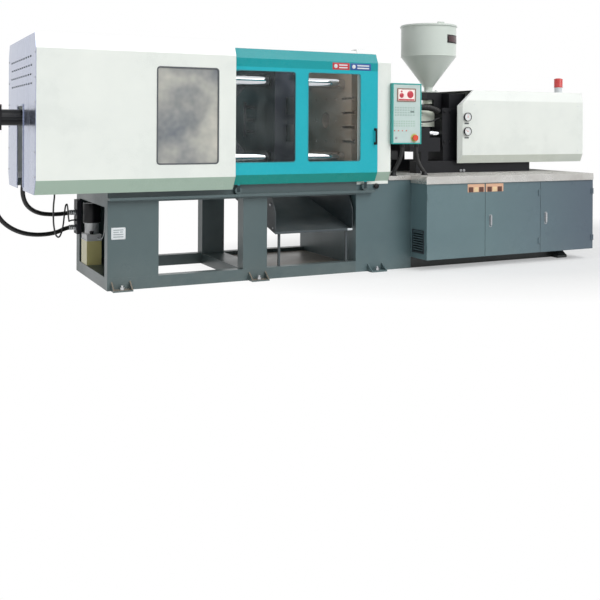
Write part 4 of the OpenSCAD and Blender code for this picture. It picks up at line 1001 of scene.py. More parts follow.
@dataclass
class Lines:
    """Hoses, cable and conduits, which hang between fixed fittings."""

    hose_r: float = 0.020
    cable_r: float = 0.007
    stub_x: float = -1.402
    stub_y: float = 0.470
    stub_z: tuple[float, ...] = (0.43, 0.57)
    ports: tuple[tuple[float, float], ...] = ((-1.85, 1.354), (-2.19, 1.314))
    upper: list[Point] = field(default_factory=lambda: [(-1.85, 0, 1.376), (-1.85, 0, 1.31),
            (-1.862, 0.002, 1.21), (-1.885, 0.008, 1.1), (-1.912, 0.02, 0.99), (-1.935, 0.045, 0.88),
            (-1.93, 0.095, 0.78), (-1.89, 0.17, 0.69), (-1.82, 0.25, 0.625), (-1.73, 0.33, 0.585),
            (-1.63, 0.395, 0.567), (-1.54, 0.445, 0.562), (-1.47, 0.47, 0.565), (-1.43, 0.47, 0.57),
            (-1.402, 0.47, 0.57)])
    lower: list[Point] = field(default_factory=lambda: [(-2.19, 0, 1.336), (-2.19, 0, 1.28),
            (-2.196, 0.002, 1.18), (-2.206, 0.005, 1.06), (-2.212, 0.008, 0.93), (-2.206, 0.014, 0.8),
            (-2.18, 0.025, 0.68), (-2.12, 0.05, 0.57), (-2.03, 0.095, 0.49), (-1.92, 0.16, 0.435),
            (-1.8, 0.235, 0.405), (-1.68, 0.315, 0.395), (-1.58, 0.39, 0.4), (-1.5, 0.455, 0.418),
            (-1.44, 0.47, 0.43), (-1.402, 0.47, 0.43)])
    cable: list[Point] = field(default_factory=lambda: [(-1.78, -0.56, 0.833), (-1.78, -0.56, 0.8),
            (-1.785, -0.552, 0.73), (-1.782, -0.53, 0.65), (-1.77, -0.49, 0.56), (-1.745, -0.44, 0.48),
            (-1.712, -0.39, 0.45), (-1.68, -0.33, 0.47), (-1.65, -0.27, 0.54), (-1.625, -0.2, 0.64),
            (-1.6, -0.12, 0.69), (-1.57, -0.03, 0.69), (-1.545, 0.06, 0.64), (-1.52, 0.16, 0.57),
            (-1.495, 0.26, 0.52), (-1.475, 0.35, 0.5), (-1.45, 0.42, 0.498), (-1.425, 0.44, 0.5),
            (-1.402, 0.44, 0.5)])
    left: list[Point] = field(default_factory=lambda: [(1.524, -0.684, 1.23), (1.524, -0.684, 1.185),
            (1.521, -0.674, 1.13), (1.512, -0.652, 1.07), (1.5, -0.624, 1.015), (1.491, -0.598, 0.97),
            (1.487, -0.58, 0.94), (1.487, -0.58, 0.915)])
    right: list[Point] = field(default_factory=lambda: [(1.684, -0.684, 1.23), (1.684, -0.684, 1.185),
            (1.694, -0.674, 1.13), (1.722, -0.652, 1.07), (1.765, -0.626, 1.015), (1.812, -0.604, 0.97),
            (1.846, -0.588, 0.94), (1.846, -0.588, 0.915)])

    def build(self) -> None:
        """Makes each line along its route and the collars at its ends."""
        for node, route, radius, rib in (("hose_upper", self.upper, self.hose_r, 0.0),
                                         ("hose_lower", self.lower, self.hose_r, 0.0),
                                         ("cable_loop", self.cable, self.cable_r, 0.0),
                                         ("conduit_left", self.left, self.hose_r, 0.0026),
                                         ("conduit_right", self.right, self.hose_r, 0.0026)):
            self.build_line(node, route, radius, rib)
        self.build_collars()

    def build_line(self, node: str, route: list[Point], radius: float, rib: float) -> None:
        """Makes one line in place of its CAD solid.

        Args:
            node: the CAD node it stands for.
            route: its points.
            radius: its radius.
            rib: the depth of its ribs.
        """
        path = Bench.smooth_route(route)
        line = Bench.tube(node + "_line", path, radius, 14, rib)
        fit(line, RUBBER, "machine")
        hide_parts(node)

    def build_collars(self) -> None:
        """Fits crimped collars on the hose ends and hexagon nuts on the stubs."""
        ridge, groove = 0.025, 0.0225
        collar = [(ridge, 0.0)] + [(ridge, 0.012), (groove, 0.004), (ridge, 0.004)] * 2
        collar += [(ridge, 0.008), (0.0212, 0.004)]
        sleeves = [Bench.turned("sleeve", (self.stub_x, self.stub_y, z), Facing.LEFT, ridge, collar)
                   for z in self.stub_z]
        fit(Bench.join("hose_sleeves", sleeves), STEEL, "machine")
        thick = 0.014
        nuts = [Bench.turned("nut", (self.stub_x + thick, self.stub_y, z), Facing.LEFT, 0.033,
                             [(0.033, thick)], 6) for z in self.stub_z]
        nuts += [Bench.turned("nut", (x, 0, z), Facing.UP, 0.034, [(0.034, 0.022)], 6)
                 for x, z in self.ports]
        fit(Bench.join("hose_nuts", nuts), STEEL, "machine")
        glands = []
        for route in (self.left, self.right):
            x, y, z = route[0]
            glands.append(Bench.turned("gland", (x, y, z - 0.034), Facing.UP, 0.0206,
                                       [(0.0212, 0.006), (0.0222, 0.0), (0.0222, 0.028)]))
            x, y, z = route[-1]
            glands.append(Bench.turned("gland", (x, y, z), Facing.UP, 0.037,
                                       [(0.037, 0.008), (0.029, 0.0), (0.027, 0.018), (0.022, 0.008)]))
        fit(Bench.join("conduit_glands", glands), BLACK, "machine")


@dataclass
class ClampGuards:
    """Window seal, screws and slot rims of the guards round the clamp."""

    face_y: float = -0.7465
    window: tuple[float, float, float, float] = (-0.965, -0.415, 1.070, 1.895)
    end_x: float = -1.965

    def build(self) -> None:
        """Makes the seal round the smoked window, the screws and the rims of the end sheet."""
        x0, x1, z0, z1 = self.window
        seal = Bench.sheet("guard_window_seal", ((x0 + x1) / 2, self.face_y - 0.003, (z0 + z1) / 2),
                           (x1 - x0 + 0.012, z1 - z0 + 0.012), Facing.FRONT, 0.03, 0.008, ring=0.012)
        fit(seal, SEAL, "machine")
        self.build_screws()
        self.build_rims()

    def build_screws(self) -> None:
        """Sets dome screws in rows down both sides of the end sheet and along the roof."""
        dome = [(0.008, 0.001), (0.0065, 0.0025), (0.0035, 0.0015), (0.0012, 0.0004)]
        first = Bench.turned("screw", (self.end_x, -0.715, 0.98), Facing.LEFT, 0.0085, dome, 14, 0.0)
        places = [(0, y, z) for y in (0.0, 1.43) for z in (0.0, 0.2, 0.4, 0.6, 0.8, 1.0)][1:]
        fit(Bench.repeat("end_sheet_screws", first, places), STEEL, "machine")
        first = Bench.turned("screw", (-1.86, -0.6, 2.141), Facing.UP, 0.0085, dome, 14, 0.0)
        places = [(x * 0.3, y, 0) for x in range(6) for y in (0.0, 1.2)][1:]
        fit(Bench.repeat("roof_screws", first, places), STEEL, "machine")

    def build_rims(self) -> None:
        """Presses shallow rims round the cylinder slot of the end sheet."""
        rims = []
        for name, y in (("rim_front", -0.134), ("rim_rear", 0.191)):
            rims.append(Bench.block(name, (self.end_x - 0.006, y - 0.008, 0.86),
                                    (self.end_x, y + 0.008, 1.575), 0.002))
        rims.append(Bench.block("rim_top", (self.end_x - 0.006, -0.142, 1.56),
                                (self.end_x, 0.199, 1.576), 0.002))
        fit(Bench.join("end_slot_rim", rims), END, "machine")


@dataclass
class SafetyDoor:
    """Window seals, handle screws and roller caps of the sliding doors."""

    face_y: float = -0.7065
    windows: tuple[tuple[float, float], ...] = ((-0.245, 0.353), (0.481, 1.039))
    low_z: float = 1.070
    high_z: float = 1.895
    handle_x: float = 1.199
    handle_ends: tuple[float, float] = (1.237, 1.371)
    roller_z: float = 0.819
    field_z: float = 1.9625
    rollers: tuple[tuple[str, float], ...] = (("door_roller_left", -0.182), ("door_roller_right", 1.128))

    def build(self) -> None:
        """Makes the pieces that slide with the front door."""
        seals = []
        for x0, x1 in self.windows:
            seals.append(Bench.sheet("seal",
                                     ((x0 + x1) / 2, self.face_y - 0.002, (self.low_z + self.high_z) / 2),
                                     (x1 - x0 + 0.006, self.high_z - self.low_z + 0.006), Facing.FRONT,
                                     0.028, 0.007, ring=0.007))
        fit(Bench.join("door_window_seals", seals),
            replace(SEAL, name="seal_teal", tint=(40, 140, 150), shade=(34, 126, 136)), "safety_door")
        feet = [Bench.turned("foot", (self.handle_x, self.face_y, z), Facing.FRONT, 0.014,
                             [(0.014, 0.003), (0.010, 0.0), (0.009, 0.004)], 20) for z in self.handle_ends]
        fit(Bench.join("door_handle_feet", feet), BLACK, "safety_door")
        for name, x in self.rollers:
            cap = Bench.turned(name + "_hub", (x, -0.6485, self.roller_z), Facing.FRONT, 0.016,
                               [(0.016, 0.002), (0.012, 0.0), (0.012, -0.001)], 24, 0.0005)
            fit(cap, BED, name)
        self.build_strips()
        stop = Bench.turned("door_stop", (1.268, -0.6065, 0.822), Facing.FRONT, 0.022,
                            [(0.022, 0.006), (0.026, 0.0), (0.026, 0.018), (0.02, 0.004)], 28)
        fit(stop, BLACK, "machine")

    def build_strips(self) -> None:
        """Lays a plain red and a plain blue field with simple pale shapes on the door's top right."""
        y, z = self.face_y - 0.001, self.field_z
        for name, x0, x1, tint, shade in (("door_field_red", 0.734, 0.915, (196, 52, 60), (180, 40, 50)),
                                          ("door_field_blue", 0.925, 1.150, (40, 84, 152), (34, 72, 136))):
            field_sheet = Bench.sheet(name, ((x0 + x1) / 2, y, z), (x1 - x0, 0.065), Facing.FRONT, 0.003,
                                      0.001, edge=0.0003)
            fit(field_sheet, replace(PEACH, name=name + "_paint", tint=tint, shade=shade), "safety_door")
        shapes = [Bench.turned("disc", (x, y, z), Facing.FRONT, 0.019, [(0.018, 0.0006)], 28, 0.0)
                  for x in (0.768, 0.962)]
        shapes += [Bench.sheet("bar", (x, y - 0.0006, z + dz), (w, 0.012), Facing.FRONT, 0.002, 0.0006,
                               edge=0.0) for x, dz, w in ((0.848, 0.012, 0.09), (0.848, -0.012, 0.09),
                (1.064, 0.012, 0.13), (1.064, -0.012, 0.13))]
        fit(Bench.join("door_field_shapes", shapes), PLATE, "safety_door")


@dataclass
class Bed:
    """Blank plate, anchors, lubricator fittings and chute pins of the bed."""

    front_y: float = -0.6065
    anchors: tuple[float, ...] = (-1.234, 0.022, 1.265)
    plate: tuple[float, float] = (-1.257, 0.482)
    lubricator: tuple[float, float] = (-1.275, 0.300)
    chute_ends: tuple[tuple[float, Facing], ...] = ((0.202, Facing.LEFT), (1.017, Facing.RIGHT))

    def build(self) -> None:
        """Makes the pieces that are fixed to the bed."""
        self.build_plate()
        self.build_anchors()
        self.build_lubricator()
        self.build_chute_pins()

    def build_plate(self) -> None:
        """Rivets a blank white plate to the left pedestal, with plain pressed lines."""
        x, z = self.plate
        fit(Bench.sheet("blank_plate", (x, self.front_y - 0.002, z), (0.122, 0.1), Facing.FRONT, 0.006,
                        0.002), PLATE, "machine")
        bars = [Bench.sheet("bar", (x + dx, self.front_y - 0.0028, z + dz), (w, 0.008), Facing.FRONT, 0.002,
                            0.001) for dx, dz, w in ((0, 0.03, 0.086), (-0.02, 0.012, 0.046),
                (0.026, 0.012, 0.026), (0, -0.008, 0.086), (0, -0.028, 0.086))]
        fit(Bench.join("plate_fields", bars),
            replace(SEAL, name="field_grey", tint=(150, 160, 163), shade=(138, 148, 152)), "machine")
        rivet = Bench.turned("rivet", (x - 0.055, self.front_y - 0.002, z - 0.043), Facing.FRONT, 0.0035,
                             [(0.0032, 0.001), (0.0015, 0.0008)], 12, 0.0)
        fit(Bench.repeat("plate_rivets", rivet,
                         [(0.11, 0, 0), (0, 0, 0.086), (0.11, 0, 0.086)]), STEEL, "machine")

    def build_anchors(self) -> None:
        """Sets a washer and hexagon nut with its stud on each anchor hole."""
        washer = Bench.turned("washer", (self.anchors[0], -0.6515, 0.012), Facing.UP, 0.024,
                              [(0.024, 0.004), (0.0205, 0.0), (0.0205, 0.018), (0.011, 0.0),
                               (0.011, 0.016)], 6, 0.0012)
        places = [(x - self.anchors[0], y, 0) for x in self.anchors for y in (0.0, 1.303)][1:]
        fit(Bench.repeat("anchor_nuts", washer, places), STEEL, "machine")

    def build_lubricator(self) -> None:
        """Adds the motor's smooth can, the pump's screws, the tank's rim and filler, and the thin line."""
        x, y = self.lubricator
        can = Bench.turned("pump_motor_can", (x, y, 0.486), Facing.UP, 0.079,
                           [(0.0815, 0.004), (0.0815, 0.178), (0.078, 0.006), (0.03, 0.001),
                            (0.03, 0.006)], 48)
        fit(can, BLACK, "machine")
        rim = Bench.sheet("tank_rim", (x - 0.0025, y, 0.334), (0.143, 0.238), Facing.UP, 0.012, 0.008)
        screws = [Bench.turned("screw", (x + dx, y + dy, 0.386), Facing.UP, 0.006, [(0.006, 0.005)], 6)
                  for dx in (-0.058, 0.052) for dy in (-0.095, 0.095)]
        fit(Bench.join("tank_rim", [rim] + screws), PUMP, "machine")
        spout = Bench.turned("filler", (x - 0.02, y - 0.085, 0.386), Facing.UP, 0.016,
                             [(0.016, 0.012), (0.02, 0.0), (0.02, 0.014), (0.017, 0.002)], 20)
        fit(spout, BLACK, "machine")
        route = Bench.smooth_route([(x + 0.03, y - 0.108, 0.35), (x + 0.03, y - 0.16, 0.345),
                                    (x + 0.035, y - 0.25, 0.36), (x + 0.04, y - 0.31, 0.42),
                                    (x + 0.04, y - 0.34, 0.52), (x + 0.04, y - 0.345, 0.62),
                                    (x + 0.04, y - 0.345, 0.735)])
        fit(Bench.tube("oil_line", route, 0.004, 10), PLATE, "machine")
        union = Bench.turned("union", (x + 0.03, y - 0.11, 0.35), Facing.FRONT, 0.008, [(0.008, 0.012)], 6)
        fit(union, STEEL, "machine")

    def build_chute_pins(self) -> None:
        """Adds pivot pins and small hexagon pins through the chute's cheeks, and a small blank tag."""
        pins = [Bench.turned("pin", (x, -0.50, 0.67), facing, 0.016,
                             [(0.016, 0.008), (0.009, 0.0), (0.009, 0.006)], 20)
                for x, facing in self.chute_ends]
        pins += [Bench.turned("pin", (x, -0.555, 0.455), facing, 0.010, [(0.010, 0.006)], 6)
                 for x, facing in self.chute_ends]
        fit(Bench.join("chute_pins", pins), STEEL, "machine")
        fit(Bench.sheet("chute_tag", (0.985, self.front_y - 0.001, 0.415), (0.052, 0.019), Facing.FRONT,
                        0.002, 0.001, edge=0.0003), PLATE, "machine")


@dataclass
class Cabinet:
    """Treads, colour fields, louvre blades and latch plates of the cabinet and its deck."""

    front_y: float = -0.8825
    deck_z: float = 0.915
    tread_pitch: float = 0.030
    latches: tuple[tuple[str, float], ...] = (("cabinet_door_middle", 2.445), ("cabinet_door_right", 3.157))

    def build(self) -> None:
        """Makes the pieces of the cabinet and the deck."""
        self.build_treads()
        self.build_fields()
        self.build_louvre()
        for body, x in self.latches:
            plate = Bench.sheet("latch_plate_" + body[13:], (x, self.front_y - 0.0004, 0.462),
                                (0.03, 0.125), Facing.FRONT, 0.008, 0.0002, ring=0.006, edge=0.0)
            fit(plate, STEEL, body)

    def build_treads(self) -> None:
        """Rolls raised lozenges over the deck in two directions, on both parts of its outline."""
        master = []
        for turn in (math.radians(45), math.radians(-45)):
            Bench.clear()
            shift = self.tread_pitch / 2 if turn > 0 else 0.0
            bpy.ops.mesh.primitive_circle_add(vertices=8, radius=0.011, fill_type="NGON",
                                              location=(shift, shift, 0), rotation=(0, 0, turn))
            bpy.context.object.scale = (1.0, 0.34, 1.0)
            lozenge = Bench.settle("lozenge")
            Bench.edit_all()
            bpy.ops.mesh.extrude_region_move(TRANSFORM_OT_translate={"value": (0, 0, 0.0018)})
            bpy.ops.transform.resize(value=(0.78, 0.7, 1.0), center_override=(shift, shift, 0.0018))
            bpy.ops.mesh.select_all(action="SELECT")
            bpy.ops.mesh.normals_make_consistent(inside=False)
            bpy.ops.object.mode_set(mode="OBJECT")
            master.append(lozenge)
        Bench.join("deck_treads_left", master)
        cell = master[0].data
        areas = (("deck_treads_left", 1.418, -0.605, 8, 40), ("deck_treads_right", 1.675, -0.885, 70, 49))
        for name, x0, y0, across, deep in areas:
            piece = bpy.data.objects.new(name, cell.copy())
            bpy.context.scene.collection.objects.link(piece)
            piece.data.transform(Matrix.Translation((x0 + 0.008, y0 + 0.008, self.deck_z)))
            Bench.pick(piece)
            for key, count, step in (("across", across, (self.tread_pitch, 0, 0)),
                                     ("deep", deep, (0, self.tread_pitch, 0))):
                row = piece.modifiers.new(key, "ARRAY")
                row.count, row.use_relative_offset, row.use_constant_offset = count, False, True
                row.constant_offset_displace = step
                bpy.ops.object.modifier_apply(modifier=key)
            fit(piece, DECK, "machine")
        bpy.data.objects.remove(master[0])

    def build_fields(self) -> None:
        """Lays plain peach fields with two brown squares each on the cabinet's doors."""
        for body, x0, x1 in (("cabinet_door_left", 2.160, 2.366), ("cabinet_door_middle", 2.383, 2.602)):
            middle = (x0 + x1) / 2
            fit(Bench.sheet("peach_field_" + body[13:], (middle, self.front_y - 0.0012, 0.794),
                            (x1 - x0, 0.082), Facing.FRONT, 0.004, 0.001, edge=0.0003), PEACH, body)
            squares = [Bench.sheet("square", (middle + dx, self.front_y - 0.002, 0.779), (0.056, 0.05),
                                   Facing.FRONT, 0.003, 0.0009, edge=0.0003) for dx in (-0.064, 0.064)]
            fit(Bench.join("brown_squares_" + body[13:], squares), BROWN, body)
            fit(Bench.sheet("cream_square_" + body[13:], (middle, self.front_y - 0.002, 0.779),
                            (0.05, 0.046), Facing.FRONT, 0.003, 0.0009, edge=0.0003),
                replace(PEACH, name="cream_field", tint=(232, 206, 164), shade=(222, 194, 152)), body)
        for body, x in (("cabinet_door_middle", 2.379), ("cabinet_door_right", 3.087)):
            edge_seal = Bench.sheet("edge_seal_" + body[13:], (x - 0.0012, self.front_y + 0.0105, 0.476),
                                    (0.018, 0.726), Facing.LEFT, 0.002, 0.001, edge=0.0)
            fit(edge_seal, RUBBER, body)

    def build_louvre(self) -> None:
        """Hangs tilted blades outside the cabinet's vent slots."""
        first = Bench.block("blade", (1.667, -0.826, 0.1765), (1.679, -0.648, 0.1805), 0.001)
        fit(Bench.repeat("louvre_blades", first, [(0, 0, 0.024 * k) for k in range(1, 9)]), DARK, "machine")
        frame_ring = Bench.sheet("louvre_frame", (1.672, -0.737, 0.277), (0.20, 0.226), Facing.LEFT, 0.004,
                                 0.007, ring=0.008)
        fit(frame_ring, DARK, "machine")


@dataclass
class ControlPanel:
    """Face, screen, keys and lamps of the control panel."""

    left_x: float = 1.407
    right_x: float = 1.716
    low_z: float = 1.242
    high_z: float = 1.810
    floor_y: float = -0.7005
    button: tuple[float, float] = (1.648, 1.290)
    screen: tuple[float, float] = (1.5545, 1.708)

    def build(self) -> None:
        """Makes the pieces on the panel's face."""
        middle = (self.left_x + self.right_x) / 2
        face = Bench.sheet("panel_face", (middle, self.floor_y - 0.003, (self.low_z + self.high_z) / 2),
                           (self.right_x - self.left_x - 0.001, self.high_z - self.low_z - 0.001),
                           Facing.FRONT, 0.004, 0.003)
        self.cut_button_hole(face)
        fit(face, FACE, "machine")
        self.build_screen()
        self.build_keys()

    def cut_button_hole(self, face: Piece) -> None:
        """Cuts the hole of the stop button's stem through the face.

        Args:
            face: the panel's face, which is cut.
        """
        cutter = Bench.turned("cutter", (self.button[0], -0.68, self.button[1]), Facing.FRONT, 0.0125,
                              [(0.0125, 0.05)], 40, 0.0)
        cut = face.modifiers.new("cut", "BOOLEAN")
        cut.object, cut.solver = cutter, "EXACT"
        Bench.pick(face)
        bpy.ops.object.modifier_apply(modifier="cut")
        bpy.ops.object.shade_flat()
        bpy.data.objects.remove(cutter)
        ring = Bench.sheet("button_ring", (self.button[0], -0.7045, self.button[1]), (0.082, 0.082),
                           Facing.FRONT, 0.0409, 0.001, ring=0.026, edge=0.0)
        fit(ring, replace(FACE, name="ring_yellow", tint=(196, 206, 120), shade=(186, 196, 112)), "machine")

    def build_screen(self) -> None:
        """Makes the screen's bezel and a plain picture of two round red fields on a pale ground."""
        x, z, y = *self.screen, self.floor_y - 0.003
        fit(Bench.sheet("screen_bezel", (x, y - 0.006, z), (0.215, 0.130), Facing.FRONT, 0.008, 0.006,
                        ring=0.010), replace(FACE, name="bezel_brown", tint=(150, 118, 104),
                                             shade=(136, 104, 92)), "machine")
        fit(Bench.sheet("screen", (x, y - 0.0015, z), (0.197, 0.112), Facing.FRONT, 0.002, 0.0015),
            SCREEN, "machine")
        spots = ((-0.056, -0.004, 0.025), (0.044, 0.006, 0.037), (-0.056, 0.034, 0.010))
        blobs = [Bench.turned("blob", (x + dx, y - 0.0014, z + dz), Facing.FRONT, r, [(r * 0.96, 0.0007)],
                              36, 0.0) for dx, dz, r in spots]
        blobs.append(Bench.sheet("bar", (x, y - 0.0021, z - 0.046), (0.18, 0.013),
                                 Facing.FRONT, 0.002, 0.0007))
        fit(Bench.join("screen_shapes", blobs), CRIMSON, "machine")

    def build_keys(self) -> None:
        """Sets rows of flat keys below the screen, a label strip, and four small lamps."""
        y = self.floor_y - 0.003
        first = Bench.sheet("key", (1.432, y - 0.0012, 1.585), (0.022, 0.014), Facing.FRONT, 0.003, 0.0012)
        grid = [(0.03 * i, 0, -0.024 * j) for j in range(4) for i in range(8)][1:]
        fit(Bench.repeat("panel_keys", first, grid), KEY, "machine")
        first = Bench.sheet("key", (1.420, y - 0.0012, 1.452), (0.018, 0.014), Facing.FRONT, 0.003, 0.0012)
        grid = [(0.028 * i, 0, -0.022 * j) for j in range(3) for i in range(9)][1:]
        fit(Bench.repeat("panel_keys_low", first, grid),
            replace(KEY, name="key_mint", tint=(177, 199, 191), shade=(168, 196, 182)), "machine")
        fit(Bench.sheet("panel_strip", (1.622, y - 0.0015, 1.545), (0.045, 0.012), Facing.FRONT, 0.002,
                        0.0015), replace(KEY, name="strip_dark", tint=(92, 112, 108),
                                         shade=(84, 102, 98)), "machine")
        lamp = Bench.turned("lamp", (1.42, y, 1.36), Facing.FRONT, 0.006,
                            [(0.006, 0.002), (0.004, 0.002), (0.0015, 0.0006)], 16, 0.0)
        fit(Bench.repeat("panel_lamps", lamp, [(0.045 * i, 0, 0) for i in range(1, 4)]), ESTOP, "machine")
        knob = Bench.turned("key_switch", (1.44, y, 1.29), Facing.FRONT, 0.012,
                            [(0.012, 0.004), (0.009, 0.0), (0.009, 0.004), (0.003, 0.0),
                             (0.003, -0.002)], 24)
        fit(knob, STEEL, "machine")


@dataclass
class InjectionUnit:
    """Rims, sight glass, bolts, pipes, gauges and lamp of the injection unit."""

    hopper: tuple[float, float] = (2.290, 0.296)
    rim_z: float = 2.484
    cover_y: float = -0.3865
    gauges: tuple[float, ...] = (1.354, 1.505)
    clips: tuple[float, ...] = (1.62, 1.90)
    loom_y: float = -0.160
    loom_z: float = 1.605
    loom_r: float = 0.032
    pipe_y: float = -0.205
    pipe_z: float = 1.450
    pipe_r: float = 0.009

    def build(self) -> None:
        """Makes the pieces that travel with the carriage and those on its base."""
        self.build_hopper()
        self.build_gauges()
        self.build_lamp()
        self.build_pipes()
        self.build_bolts()

    def build_hopper(self) -> None:
        """Rolls the hopper's rim, beads its seams, and fits the sight glass and the foot bolts."""
        x, r = self.hopper
        rim = self.hoop("hopper_rim", x, self.rim_z - 0.008, r + 0.004, 0.008)
        seam = self.hoop("hopper_seam", x, 2.155, r + 0.0005, 0.0035)
        neck = self.hoop("hopper_neck_bead", x, 1.822, 0.0455, 0.004)
        fit(Bench.join("hopper_rim", [rim, seam, neck]), HOPPER, "injection_carriage")
        for name, grow, finish, width in (("sight_frame", 0.006, BLACK, 0.0),
                                          ("sight_glass", 0.0085, WINE, 0.010)):
            fit(self.curved_plate(name, r + grow, width), finish, "injection_carriage")
        bolt = Bench.turned("bolt", (x - 0.058, -0.058, 1.782), Facing.UP, 0.012,
                            [(0.012, 0.003), (0.0095, 0.0), (0.0095, 0.009)], 6)
        fit(Bench.repeat("hopper_foot_bolts", bolt, [(0.116, 0, 0), (0, 0.116, 0), (0.116, 0.116, 0)]),
            STEEL, "injection_carriage")

    def hoop(self, name: str, x: float, z: float, ring: float, wire: float) -> Piece:
        """Bends a round wire into a hoop round the hopper and presses it a little flat.

        Args:
            name: the piece's name.
            x: the hopper's axis along the machine.
            z: the hoop's height.
            ring: the hoop's radius.
            wire: the wire's radius.

        Returns:
            The hoop.
        """
        Bench.clear()
        bpy.ops.mesh.primitive_torus_add(location=(x, 0, z), major_radius=ring, minor_radius=wire,
                                         major_segments=96, minor_segments=12)
        piece = Bench.settle(name)
        Bench.edit_all()
        bpy.ops.transform.resize(value=(1, 1, 0.85), center_override=(x, 0, z))
        bpy.ops.object.mode_set(mode="OBJECT")
        Bench.soften(piece, 0.0)
        return piece

    def curved_plate(self, name: str, radius: float, inset: float) -> Piece:
        """Bends a plate round the hopper's wall, on its front right side.

        Args:
            name: the piece's name.
            radius: the radius of its outer face.
            inset: how far it stays inside the full outline.

        Returns:
            The piece.
        """
        x, _ = self.hopper
        half, turn = 0.098 - inset, math.radians(-64)
        Bench.clear()
        bpy.ops.mesh.primitive_grid_add(x_subdivisions=16, y_subdivisions=1, size=1, location=(0, 0, 0),
                                        rotation=(math.pi / 2, 0, 0))
        bpy.context.object.scale = (2 * half, 0.085 - 2 * inset, 1)
        piece = Bench.settle(name)
        for vertex in piece.data.vertices:
            angle = turn + vertex.co.x / radius
            vertex.co = (x + radius * math.cos(angle), radius * math.sin(angle), 2.333 + vertex.co.z)
        wall = piece.modifiers.new("wall", "SOLIDIFY")
        wall.thickness, wall.offset = 0.008, -1
        bpy.ops.object.modifier_apply(modifier="wall")
        Bench.soften(piece, 0.0012)
        return piece

    def build_gauges(self) -> None:
        """Fits a bezel, ticks, a needle and a small blank strip to each gauge."""
        low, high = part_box("pressure_gauges")
        front, middle = low.y, (low.x + high.x) / 2
        bezels, ticks, needles, strips = [], [], [], []
        for k, z in enumerate(self.gauges):
            bezels.append(Bench.sheet("bezel", (middle, front - 0.005, z), (0.092, 0.092), Facing.FRONT,
                                      0.0459, 0.019, ring=0.005, edge=0.0015))
            for tick in range(11):
                angle = math.radians(225 - 27 * tick)
                at = (middle + 0.031 * math.cos(angle), front - 0.001, z + 0.031 * math.sin(angle))
                bar = Bench.sheet("tick", (0, 0, 0), (0.007, 0.0016), Facing.FRONT, 0.0, 0.0008, edge=0.0)
                bar.data.transform(Matrix.Translation(at) @ Matrix.Rotation(-angle, 4, "Y"))
                ticks.append(bar)
            needle = Bench.sheet("needle", (0.009, 0, 0), (0.034, 0.0026), Facing.FRONT,
                                 0.001, 0.001, edge=0.0)
            lean = math.radians(150 - 60 * k)
            at = Matrix.Translation((middle, front - 0.0012, z))
            needle.data.transform(at @ Matrix.Rotation(-lean, 4, "Y"))
            needles += [needle, Bench.turned("hub", (middle, front - 0.0004, z), Facing.FRONT, 0.005,
                                             [(0.005, 0.002), (0.003, 0.0006)], 16, 0.0)]
            strips.append(Bench.sheet("strip", (middle, self.cover_y - 0.001, z - 0.068), (0.056, 0.014),
                                      Facing.FRONT, 0.003, 0.001, edge=0.0003))
        body = "injection_carriage"
        fit(Bench.join("gauge_bezels", bezels), BLACK, body)
        fit(Bench.join("gauge_ticks", ticks), BLACK, body)
        fit(Bench.join("gauge_needles", needles), ESTOP, body)
        fit(Bench.join("gauge_strips", strips),
            replace(SEAL, name="strip_grey", tint=(70, 74, 78), shade=(60, 64, 68)), body)

    def build_lamp(self) -> None:
        """Turns the signal lamp's ribbed lens and its pale base, which stand for the plain solid."""
        low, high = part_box("signal_lamp")
        x, y, z = (low.x + high.x) / 2, (low.y + high.y) / 2, low.z
        base = Bench.turned("lamp_base", (x, y, z), Facing.UP, 0.047,
                            [(0.047, 0.006), (0.044, 0.004), (0.044, 0.046), (0.047, 0.004),
                             (0.047, 0.006)], 56)
        steps = [(0.05, 0.0), (0.05, 0.006)]
        for _ in range(6):
            steps += [(0.0475, 0.003), (0.0475, 0.0035), (0.05, 0.003), (0.05, 0.0045)]
        steps += [(0.047, 0.008), (0.03, 0.0078), (0.008, 0.002)]
        lens = Bench.turned("lamp_ribs", (x, y, z + 0.066), Facing.UP, 0.048, steps, 56, 0.0)
        fit(base, PLATE, "injection_carriage")
        fit(lens, LENS, "injection_carriage")
        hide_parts("signal_lamp")

    def build_pipes(self) -> None:
        """Bends the corrugated loom above the barrel and the thin pipe beside it."""
        y, z = self.loom_y, self.loom_z
        loom = Bench.smooth_route([(1.60, y, z), (1.75, y, z), (1.95, y, z), (2.10, y, z),
                                   (2.19, y - 0.006, z - 0.005), (2.25, y - 0.022, z - 0.022),
                                   (2.302, y - 0.040, z - 0.045)])
        fit(Bench.tube("heater_loom", loom, self.loom_r, 16, 0.004, 0.018), RUBBER, "injection_carriage")
        clips = [Bench.block("clip", (x - 0.012, y - 0.038, z - 0.037), (x + 0.012, y + 0.038, z + 0.037),
                             0.003) for x in self.clips]
        end_r = self.loom_r + 0.002
        clips.append(Bench.turned("loom_end", (1.602, y, z), Facing.LEFT, end_r,
                                  [(end_r, 0.02), (0.028, 0.004), (0.01, 0.002)], 24))
        feet = [Bench.block("clip_foot", (x - 0.012, y + 0.03, z - 0.032), (x + 0.012, y + 0.13, z - 0.026),
                            0.002) for x in self.clips]
        fit(Bench.join("loom_clips", clips + feet), BLACK, "injection_carriage")
        y, z = self.pipe_y, self.pipe_z
        thin = Bench.smooth_route([(1.50, y + 0.101, z), (1.52, y + 0.045, z), (1.57, y + 0.005, z),
                                   (1.75, y, z), (1.95, y, z), (2.10, y, z), (2.20, y - 0.005, z + 0.010),
                                   (2.26, y - 0.010, z + 0.035), (2.302, y - 0.010, z + 0.040)])
        fit(Bench.tube("grease_pipe", thin, self.pipe_r, 12), BLACK, "injection_carriage")
        collar = Bench.turned("throat_collar", (self.hopper[0], 0, 1.645), Facing.UP, 0.056,
                              [(0.062, 0.004), (0.062, 0.036), (0.056, 0.004)], 40)
        fit(collar, CREAM, "injection_carriage")

